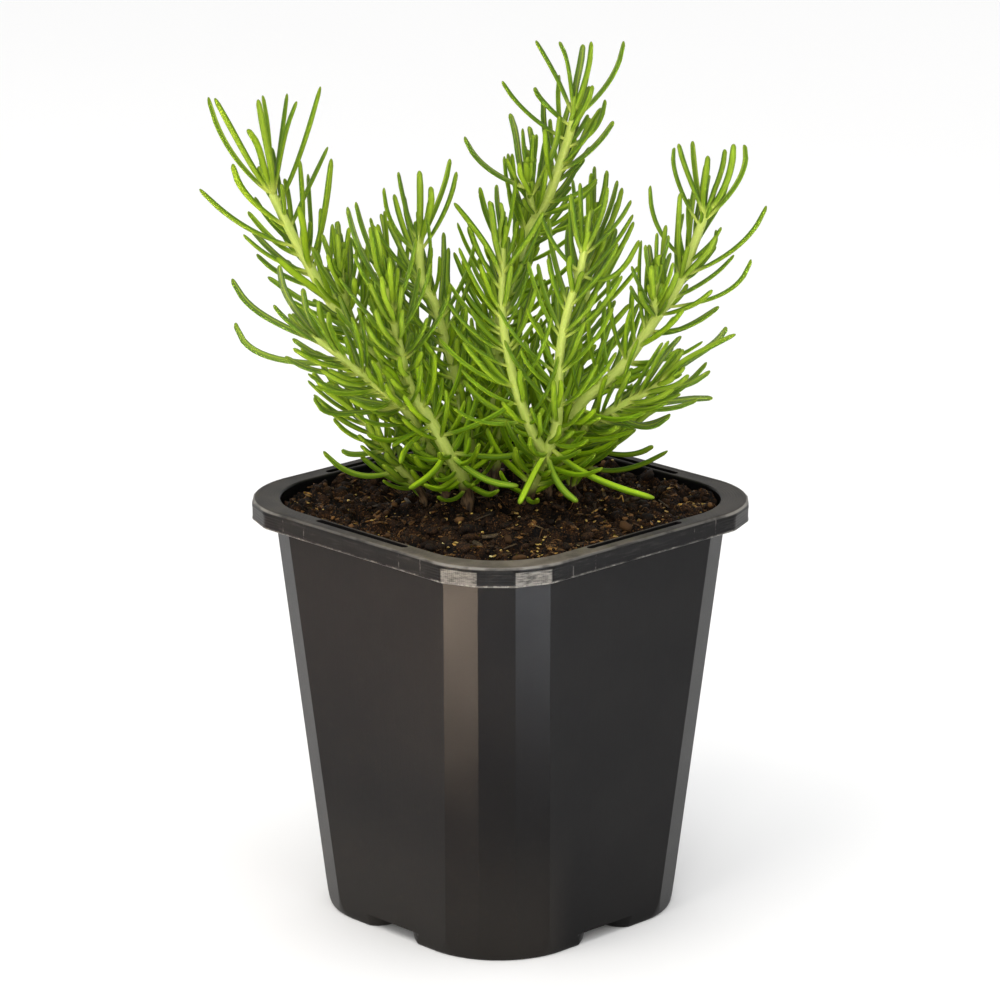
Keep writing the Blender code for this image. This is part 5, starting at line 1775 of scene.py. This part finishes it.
def lump(draft: MeshDraft, centre: Sequence[float], size: Sequence[float], draw: random.Random,
         tint: float, sides: int = 6, levels: int = 4) -> None:
    """Add an irregular bit to a draft: rings of uneven radius between two blunt ends.

    Args:
        draft: the draft to add to.
        centre: the bit's middle.
        size: its length, width and thickness.
        draw: random draws.
        tint: the bit's own shade.
        sides: how many points a ring has.
        levels: how many rings it has.
    """
    turn, tip = draw.uniform(0.0, math.tau), draw.uniform(-LUMP_TILT, LUMP_TILT)
    long = np.array((math.cos(turn) * math.cos(tip), math.sin(turn) * math.cos(tip), math.sin(tip)))
    wide = unit(np.cross(UP, long))
    thick = np.cross(long, wide)
    roll = draw.uniform(-LUMP_ROLL, LUMP_ROLL)
    wide, thick = around(wide, thick, roll), around(thick, -wide, roll)
    firsts = []
    for level in range(levels):
        share = (level + 0.5) / levels * 2.0 - 1.0
        fat = math.sqrt(max(1.0 - abs(share) ** LUMP_BLUNT, 0.05))
        middle = np.array(centre) + long * (share * 0.5 * size[0])
        middle = middle + wide * draw.uniform(-LUMP_SHIFT, LUMP_SHIFT) * size[1]
        ring = []
        for k in range(sides):
            angle = math.tau * k / sides
            reach = 0.5 * fat * draw.uniform(*LUMP_BULGE)
            ring.append(middle + around(wide * size[1], thick * size[2], angle) * reach)
        firsts.append(draft.ring(ring, tint=[tint] * sides))
    draft.loft(firsts, sides)


def thread(draft: MeshDraft, points: np.ndarray, radius: float, tint: float, sides: int = 5) -> None:
    """Add a thin tube along a line of points to a draft.

    Args:
        draft: the draft to add to.
        points: the tube's centre line.
        radius: its radius in the middle.
        tint: its own shade.
        sides: how many points a ring has.
    """
    along = np.gradient(points, axis=0)
    firsts = []
    for k, point in enumerate(points):
        ahead = unit(along[k] + 1e-9)
        side = unit(np.cross(ahead, (0.013, 0.021, 1.0)))
        over = np.cross(side, ahead)
        thin = radius * (0.45 if k in (0, len(points) - 1) else 1.0)
        ring = [point + thin * around(side, over, math.tau * j / sides) for j in range(sides)]
        firsts.append(draft.ring(ring, tint=[tint] * sides))
    draft.loft(firsts, sides)


@dataclass(frozen=True)
class Litter:
    """Loose bits of one kind.

    Attributes:
        length: their least and greatest length.
        width: their width as a share of the length, least and greatest.
        thick: their thickness as a share of the length, least and greatest.
        skew: 1 where all lengths are as common, more where short ones are commoner.
        sink: the share of the thickness that they sink in.
    """

    count: int
    seed: int
    length: tuple[float, float]
    width: tuple[float, float]
    thick: tuple[float, float]
    skew: float = 1.0
    sink: float = 0.2
    sides: int = 6

    def measures(self, draw: random.Random) -> Point:
        """Draw one bit's length, width and thickness."""
        low, high = self.length
        length = low + (high - low) * draw.random() ** self.skew
        return length, length * draw.uniform(*self.width), length * draw.uniform(*self.thick)


CRUMBS = Litter(1500, 31, (0.0005, 0.0021), (0.7, 1.0), (0.5, 0.9), 2.2)
CLODS = Litter(170, 35, (0.0022, 0.0048), (0.6, 0.9), (0.4, 0.65), sink=0.25, sides=9)
CHIPS = Litter(230, 32, (0.0012, 0.0044), (0.35, 0.65), (0.16, 0.34), 1.6, 0.1, 5)
SHREDS = Litter(1300, 36, (0.0008, 0.0036), (0.16, 0.42), (0.08, 0.24), 1.9, 0.1, 5)
GRIT_BITS = Litter(300, 33, (0.0004, 0.0017), (0.35, 0.8), (0.25, 0.5), 1.4, -0.3, 5)
DRIED_BITS = Litter(30, 34, (0.004, 0.009), (0.12, 0.24), (0.05, 0.09), sink=-0.6)


@dataclass
class Compost:
    """The compost: a crumbly block that fills the pot, and the loose bits that lie on it.

    Attributes:
        cells: how many cells the top has from side to side.
        taper: how much slimmer than the pot its foot is.
        bank: how much higher it lies along the pot's wall, from bank_from on, over bank_over.
        edge_drop: how far the top's outermost points drop.
        roughs: the top's relief as (height, size of a lump, seed).
        painted_shade_relief: how far the relief must drop for its painted shade to deepen the tint by one.
        painted_shade_tints: the tint, which darkens the compost's hollows as painted shade, at the mean
            height, the greatest one, and the sides' one.
        field_half: half the width of the square where loose bits lie.
        field_corner: how far from its corners the rounding begins.
        field_round: how far the rounded corners reach from there.
    """

    cells: int = 240
    clearance: float = 0.0003
    taper: float = 0.985
    bank: float = 0.0026
    bank_from: float = 0.032
    bank_over: float = 0.016
    edge_drop: float = 0.0006
    roughs: tuple = ((0.0020, 0.0062, 3.0), (0.0020, 0.0027, 11.0), (0.00085, 0.0011, 23.0))
    painted_shade_relief: float = 0.0012
    painted_shade_tints: tuple = (0.45, 0.85, 0.35)
    fibres: int = 70
    fibre_length: tuple = (0.002, 0.0055)
    fibre_radius: tuple = (0.00007, 0.00015)
    fibre_rises: tuple = (0.0, 0.0, 0.0, 0.0010)
    fibre_steps: int = 7
    fibre_bend: float = 1.3
    fibre_seed: int = 77
    field_half: float = 0.0474
    field_corner: float = 0.022
    field_round: float = 0.0215
    slot_bits: int = 9
    slot_seed: int = 5
    slot_reach: float = 0.0155
    slot_stray: float = 0.0003
    slot_sizes: tuple = (0.0006, 0.0013)

    def relief(self, x: float, y: float) -> float:
        """Give how far the crumbly top stands over or under its mean height."""
        return sum(size * noise.noise(Vector((x / lump_size, y / lump_size, seed)))
                   for size, lump_size, seed in self.roughs)

    def top(self, x: float, y: float) -> float:
        """Give the height of the compost's crumbly top."""
        out = within((math.hypot(x, y) - self.bank_from) / self.bank_over)
        return soil_height(x, y) + self.bank * out ** 2 + self.relief(x, y)

    def outline(self, pot: NurseryPot) -> Callable[[float, float], float]:
        """Give a function that tells how far the block reaches in a direction.

        Args:
            pot: the pot that it lies in.

        Returns:
            The function of a direction's two numbers.
        """
        ring = np.array(pot.wall(SOIL_EDGE, pot.sizes.wall_thick + self.clearance + 0.0002))
        angles = np.arctan2(ring[:, 1], ring[:, 0])
        order = np.argsort(angles)
        turns = np.r_[angles[order] - math.tau, angles[order], angles[order] + math.tau]
        points = np.tile(ring[order][:, :2], (3, 1))

        def far(u: float, v: float) -> float:
            """Give the reach in the direction of (u, v)."""
            angle = math.atan2(v, u)
            k = int(np.searchsorted(turns, angle))
            first, last = points[k - 1], points[k]
            edge = last - first
            across = math.cos(angle) * edge[1] - math.sin(angle) * edge[0]
            return float((first[0] * edge[1] - first[1] * edge[0]) / across)

        return far

    def block(self, pot: NurseryPot) -> bpy.types.Object:
        """Build the block, with its top displaced into lumps and crumbs, and painted shade darkening its
        hollows.

        Args:
            pot: the pot that it lies in.

        Returns:
            The block.
        """
        draft = MeshDraft("tint")
        count = self.cells + 1
        far = self.outline(pot)
        for i in range(count):
            row, painted_shade_tints = [], []
            for j in range(count):
                u, v = 2.0 * i / self.cells - 1.0, 2.0 * j / self.cells - 1.0
                square = max(abs(u), abs(v))
                scale = 0.0 if square == 0.0 else square * far(u, v) / math.hypot(u, v)
                x, y = u * scale, v * scale
                drop = self.edge_drop if square > 0.999 else 0.0
                row.append((x, y, self.top(x, y) - drop))
                # painted shade: the lower the relief, the higher the tint and the darker the compost
                painted_shade_tints.append(within(self.painted_shade_tints[0] - self.relief(x, y) / self.painted_shade_relief, 0.0, self.painted_shade_tints[1]))
            draft.ring(row, tint=painted_shade_tints)
        for i in range(self.cells):
            for j in range(self.cells):
                a = i * count + j
                draft.faces.append((a, a + count, a + count + 1, a + 1))
        rim = [i * count for i in range(count)]
        rim += [self.cells * count + j for j in range(1, count)]
        rim += [i * count + self.cells for i in range(self.cells - 1, -1, -1)]
        rim += [j for j in range(self.cells - 1, 0, -1)]
        floor = POT.base_thick + self.clearance
        wall = POT.wall_thick + self.clearance
        shrink = (POT.wall_half(floor) - wall) / (POT.wall_half(SOIL_EDGE) - wall) * self.taper
        foot = draft.ring([(draft.points[k][0] * shrink, draft.points[k][1] * shrink, floor) for k in rim],
                          tint=[self.painted_shade_tints[2]] * len(rim))
        for k, vert in enumerate(rim):
            nxt = (k + 1) % len(rim)
            draft.faces.append((foot + k, foot + nxt, rim[nxt], vert))
        draft.cap(foot, len(rim), flip=True)
        return draft.build("compost_block")

    def spot(self, draw: random.Random) -> Plane:
        """Draw a place on the compost.

        Args:
            draw: the random draws.

        Returns:
            The place.
        """
        half, corner = self.field_half, self.field_corner
        while True:
            x, y = draw.uniform(-half, half), draw.uniform(-half, half)
            over = math.hypot(max(abs(x) - half + corner, 0.0), max(abs(y) - half + corner, 0.0))
            if over < self.field_round:
                return x, y

    def scatter(self, *kinds: Litter) -> MeshDraft:
        """Scatter bits over the compost, and give the draft with all of them.

        Args:
            *kinds: the kinds of bits.

        Returns:
            The draft.
        """
        draft = MeshDraft("tint")
        for kind in kinds:
            draw = random.Random(kind.seed)
            for _ in range(kind.count):
                x, y = self.spot(draw)
                measures = kind.measures(draw)
                lift = measures[2] * (0.5 - kind.sink)
                lump(draft, (x, y, self.top(x, y) + lift), measures, draw, draw.random(), kind.sides)
        return draft

    def fibre_draft(self) -> MeshDraft:
        """Scatter shreds and curved fibres over the compost.

        Returns:
            The draft with them.
        """
        draft = self.scatter(SHREDS)
        draw = random.Random(self.fibre_seed)
        for _ in range(self.fibres):
            x, y = self.spot(draw)
            step = draw.uniform(*self.fibre_length) / self.fibre_steps
            heading, bend = draw.uniform(0.0, math.tau), draw.uniform(-self.fibre_bend, self.fibre_bend)
            rise = draw.choice(self.fibre_rises)
            radius = draw.uniform(*self.fibre_radius)
            points = []
            for k in range(self.fibre_steps + 1):
                share = k / self.fibre_steps
                if k:
                    x += step * math.cos(heading + bend * share)
                    y += step * math.sin(heading + bend * share)
                if max(abs(x), abs(y)) > self.field_half:
                    break
                points.append((x, y, self.top(x, y) + radius + 0.0001 + rise * math.sin(math.pi * share)))
            if len(points) > 3:
                thread(draft, np.array(points), radius, draw.random())
        return draft

    def slot_crumbs(self, draft: MeshDraft) -> None:
        """Drop a few crumbs into the rim's label slots.

        Args:
            draft: the draft to add to.
        """
        draw = random.Random(self.slot_seed)
        for side in range(4):
            for _ in range(self.slot_bits):
                along = draw.uniform(-self.slot_reach, self.slot_reach)
                out = POT.slot_place + draw.uniform(-self.slot_stray, self.slot_stray)
                size = draw.uniform(*self.slot_sizes)
                centre = (*turned((along, out), side), POT.height - POT.slot_depth + 0.4 * size)
                lump(draft, centre, (size, size * 0.8, size * 0.7), draw, draw.random())

    def build(self, pot: NurseryPot, effects: Effects) -> None:
        """Build the compost and everything that lies on it.

        Args:
            pot: the pot that it lies in.
            effects: the effects that materials share.
        """
        dress(self.block(pot), SOIL_MIX.make(effects), Slot.COMPOST, "soil")
        crumbs = self.scatter(CRUMBS, CLODS)
        self.slot_crumbs(crumbs)
        dress(crumbs.build("compost_crumbs"), CRUMB.make(effects), Slot.COMPOST)
        dress(self.scatter(CHIPS).build("bark_chips", smooth=False), BARK.make(effects), Slot.COMPOST)
        dress(self.fibre_draft().build("coir_fibres"), FIBRE.make(effects), Slot.COMPOST)
        dress(self.scatter(GRIT_BITS).build("pale_grit"), GRIT.make(effects), Slot.COMPOST)
        dress(self.scatter(DRIED_BITS).build("dried_leaves"), DRIED.make(effects), Slot.COMPOST)


@dataclass
class LeafyStem:
    """One leafy stem: its ribbed stem with side shoots, and the needles that clothe it.

    Attributes:
        axes: its shoots' centre lines.
        swelling: a shoot's thickness between its joints, and what a joint adds.
        blunt: the length of its blunt end.
        woody_below: from which height down it turns woody, over the height woody_over.
        ribs: how high the four ribs of the green part stand.
        cracks: how deep the bark is cracked, and how fine.
    """

    name: str
    axes: list[Axis]
    needles: list[Needle]
    sides: int = 16
    ring_step: float = 0.0011
    joint_pitch: float = 0.0046
    joint_width: float = 0.0007
    swelling: tuple = (0.95, 0.045)
    blunt: float = 0.0016
    woody_below: float = 0.1242
    woody_over: float = 0.007
    ribs: float = 0.05
    cracks: tuple = (0.16, 900.0)

    def tube(self, draft: MeshDraft, axis: Axis) -> None:
        """Add one shoot's stem: four soft ribs, swollen joints, rough and brown at the foot.

        Args:
            draft: the draft to add to.
            axis: the shoot's centre line.
        """
        count = max(4, round(axis.length / self.ring_step))
        firsts = []
        for k in range(count + 1):
            distance = axis.length * k / count
            point, along, side = axis.at(distance)
            over = np.cross(along, side)
            woody = within((self.woody_below - point[2]) / self.woody_over)
            joint = math.exp(-((distance % self.joint_pitch) / self.joint_width) ** 2)
            end = min(1.0, (axis.length - distance) / self.blunt)
            radius = axis.radius(distance) * (self.swelling[0] + self.swelling[1] * joint)
            radius *= 0.35 + 0.65 * math.sqrt(end)
            turns = [math.tau * corner / self.sides for corner in range(self.sides - 1, -1, -1)]
            ring = []
            for turn in turns:
                out = around(side, over, turn)
                rib = 1.0 + self.ribs * math.cos(4.0 * turn) * (1.0 - woody)
                crack = noise.noise(Vector((point + radius * out) * self.cracks[1])) * self.cracks[0] * woody
                ring.append(to_pot(point + radius * (rib + crack) * out))
            firsts.append(draft.ring(
                ring, run=[distance] * self.sides, woody=[woody] * self.sides,
                turn_x=[math.cos(turn) for turn in turns], turn_y=[math.sin(turn) for turn in turns],
            ))
        draft.loft(firsts, self.sides)

    def needle(self, draft: MeshDraft, needle: Needle, draw: random.Random) -> None:
        """Add one needle: rolled edges, a groove above, a slim foot and a blunt tip.

        Args:
            draft: the draft to add to.
            needle: the needle.
            draw: the stem's random draws.
        """
        line = needle.line
        middle = 2.0 * line[3] - 0.5 * (line[0] + line[-1])
        smooth = bent_line(line[0], middle, line[-1], FINE.rings)
        keel = -needle.axis.along[needle.axis.foot_of(line)]
        roll, waver = draw.uniform(-FINE.roll, FINE.roll), draw.uniform(-1.0, 1.0) * FINE.waver
        outline = list(FINE.outline) + [(-u, v) for u, v in FINE.outline[-2:0:-1]]
        run = np.linspace(0.0, 1.0, FINE.rings)
        shares = [*run[:-len(FINE.ends)], *FINE.ends]
        heading = np.gradient(smooth, axis=0)
        firsts = []
        for share in shares:
            point = np.array([np.interp(share * 0.992, run, smooth[:, k]) for k in range(3)])
            ahead = unit(np.array([np.interp(share, run, heading[:, k]) for k in range(3)]))
            keel = unit(keel - ahead * (keel @ ahead) + 1e-6 * UP)
            flat = np.cross(ahead, keel)
            back, across = around(keel, flat, roll * share), around(flat, -keel, roll * share)
            point = point + flat * waver * math.sin(math.tau * share)
            half = 0.5 * needle.width * read_profile(FINE.taper, share)
            ring = [to_pot(point + across * half * u + back * half * v) for u, v in outline]
            firsts.append(draft.ring(
                # side runs from the midline out to the edge and places the painted highlight and the painted
                # shade across each needle
                ring, along=[share] * len(ring), side=[abs(u) for u, _ in outline],
                under=[1.0 if v > 0.3 else 0.0 for _, v in outline],
                tint=[needle.tint] * len(ring), age=[needle.age] * len(ring),
            ))
        draft.loft(firsts, len(outline))

    def build(self, stem_skin: bpy.types.Material, leaf_skin: bpy.types.Material) -> None:
        """Build the stem and its needles, and dress both.

        Args:
            stem_skin: the stem's material.
            leaf_skin: the needles' material.
        """
        node = "leafy_stem_" + self.name
        wood = MeshDraft("run", "woody", "turn_x", "turn_y")
        for axis in self.axes:
            self.tube(wood, axis)
        dress(wood.build("stem_" + self.name), stem_skin, Slot.LEAFY, node)
        leaves = MeshDraft(*NEEDLE_VALUES)
        draw = random.Random(len(self.name) * 101 + len(self.needles))
        for needle in self.needles:
            self.needle(leaves, needle, draw)
        dress(leaves.build("needles_" + self.name), leaf_skin, Slot.LEAFY, node)


def hang(name: str, data: bpy.types.ID, place: Sequence[float], aim: Sequence[float]) -> bpy.types.Object:
    """Place a lamp or a camera so that it faces a point.

    Args:
        name: the object's name.
        data: the lamp or the camera.
        place: where it hangs, as (across, front, up).
        aim: the point that it faces.

    Returns:
        The new object, linked to the scene.
    """
    made = bpy.data.objects.new(name, data)
    start, end = Vector(to_pot(place)), Vector(to_pot(aim))
    made.location = start
    made.rotation_euler = (end - start).to_track_quat("-Z", "Y").to_euler()
    bpy.context.scene.collection.objects.link(made)
    return made


class Lamp(NamedTuple):
    """A round soft lamp: its place, what it faces, its width, watts, colour and beam in degrees."""

    name: str
    place: Point
    aim: Point
    size: float
    power: float
    colour: tuple
    spread: float = 180.0

    def build(self) -> None:
        """Hang the lamp."""
        light = bpy.data.lights.new(self.name, "AREA")
        light.shape = "DISK"
        light.size = self.size
        light.energy = self.power
        light.color = self.colour
        light.spread = math.radians(self.spread)
        hang(self.name, light, self.place, self.aim)


PLANT_LAMPS = (
    Lamp("key", (-0.42, 0.50, 1.05), (0.0, 0.0, 0.15), 0.6, 3.8, (1.0, 0.96, 0.90)),
    Lamp("fill", (0.22, 0.35, 1.20), (0.0, 0.0, 0.15), 0.6, 1.4, (0.97, 0.98, 1.0)),
    Lamp("front", (-0.10, 1.20, 0.42), (0.0, 0.0, 0.16), 0.45, 3.6, (1.0, 0.98, 0.94)),
)
FLOOR_LAMPS = (
    Lamp("floor_side", (-0.29, 0.03, 0.35), (-0.29, 0.03, 0.0), 0.20, 0.10, (1.0, 0.58, 0.32), 56.0),
    Lamp("floor_left", (-0.19, 0.19, 0.40), (-0.19, 0.19, 0.0), 0.12, 2.2, (1.0, 0.78, 0.58), 28.0),
    Lamp("floor_front", (0.02, 0.30, 0.40), (0.02, 0.30, 0.0), 0.16, 0.25, (1.0, 0.98, 0.96), 30.0),
    Lamp("floor_right", (0.20, 0.22, 0.40), (0.20, 0.22, 0.0), 0.12, 1.1, (0.90, 0.94, 1.0), 28.0),
)


@dataclass
class Studio:
    """The plain pale floor, the soft light and the camera.

    Attributes:
        target: the point that the camera looks at, as (across, up).
        distance: how far away it stands.
        lift: how steeply it looks down, in radians.
        surround: how bright the surroundings are.
    """

    target: Plane = (-0.000115, 0.11517)
    distance: float = 1.2555
    lift: float = math.radians(16.094)
    lens: float = 166.66
    sensor: float = 36.0
    clip: tuple = (0.05, 30.0)
    floor_half: float = 4.0
    surround: float = 0.985

    def floor(self, effects: Effects) -> None:
        """Lay the floor.

        Args:
            effects: the effects that materials share.
        """
        draft, half = MeshDraft(), self.floor_half
        draft.ring([(-half, -half, 0.0), (half, -half, 0.0), (half, half, 0.0), (-half, half, 0.0)])
        draft.faces.append((0, 1, 2, 3))
        floor = draft.build("studio_floor", smooth=False)
        floor.data.materials.append(FloorPaint().make(effects))

    def lights(self) -> None:
        """Light the surroundings, the plant and the floor round the pot."""
        world = bpy.data.worlds.new("studio_surround")
        world.use_nodes = True
        back = world.node_tree.nodes["Background"]
        back.inputs["Color"].default_value = (1.0, 1.0, 1.0, 1.0)
        back.inputs["Strength"].default_value = self.surround
        bpy.context.scene.world = world
        for lamp in (*PLANT_LAMPS, *FLOOR_LAMPS):
            lamp.build()

    def camera(self) -> None:
        """Set up the camera at the photograph's angle."""
        across, up = self.target
        front, high = self.distance * math.cos(self.lift), self.distance * math.sin(self.lift)
        data = bpy.data.cameras.new("view")
        data.lens = self.lens
        data.sensor_width = self.sensor
        data.clip_start, data.clip_end = self.clip
        bpy.context.scene.camera = hang("view", data, (across, front, up + high), (across, 0.0, up))

    def build(self, effects: Effects) -> None:
        """Set up the whole studio.

        Args:
            effects: the effects that materials share.
        """
        self.floor(effects)
        self.lights()
        self.camera()
        bpy.context.scene.view_settings.view_transform = "Standard"
        bpy.context.scene.view_settings.look = "None"


def main() -> None:
    """Build the pot, the compost, the leafy stems and the studio."""
    logging.basicConfig(level=logging.INFO, format="%(message)s")
    effects = Effects()
    pot = NurseryPot()
    pot.build(PotPlastic().make(effects))
    Compost().build(pot, effects)
    plant = Plant()
    plant.grow()
    stem_skin = StemSkin().make(effects)
    leaf_skin = LeafSkin().make(effects)
    for name, axes in plant.axes.items():
        LeafyStem(name, axes, plant.needles[name]).build(stem_skin, leaf_skin)
    Studio().build(effects)
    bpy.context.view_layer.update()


if __name__ == "__main__":
    main()
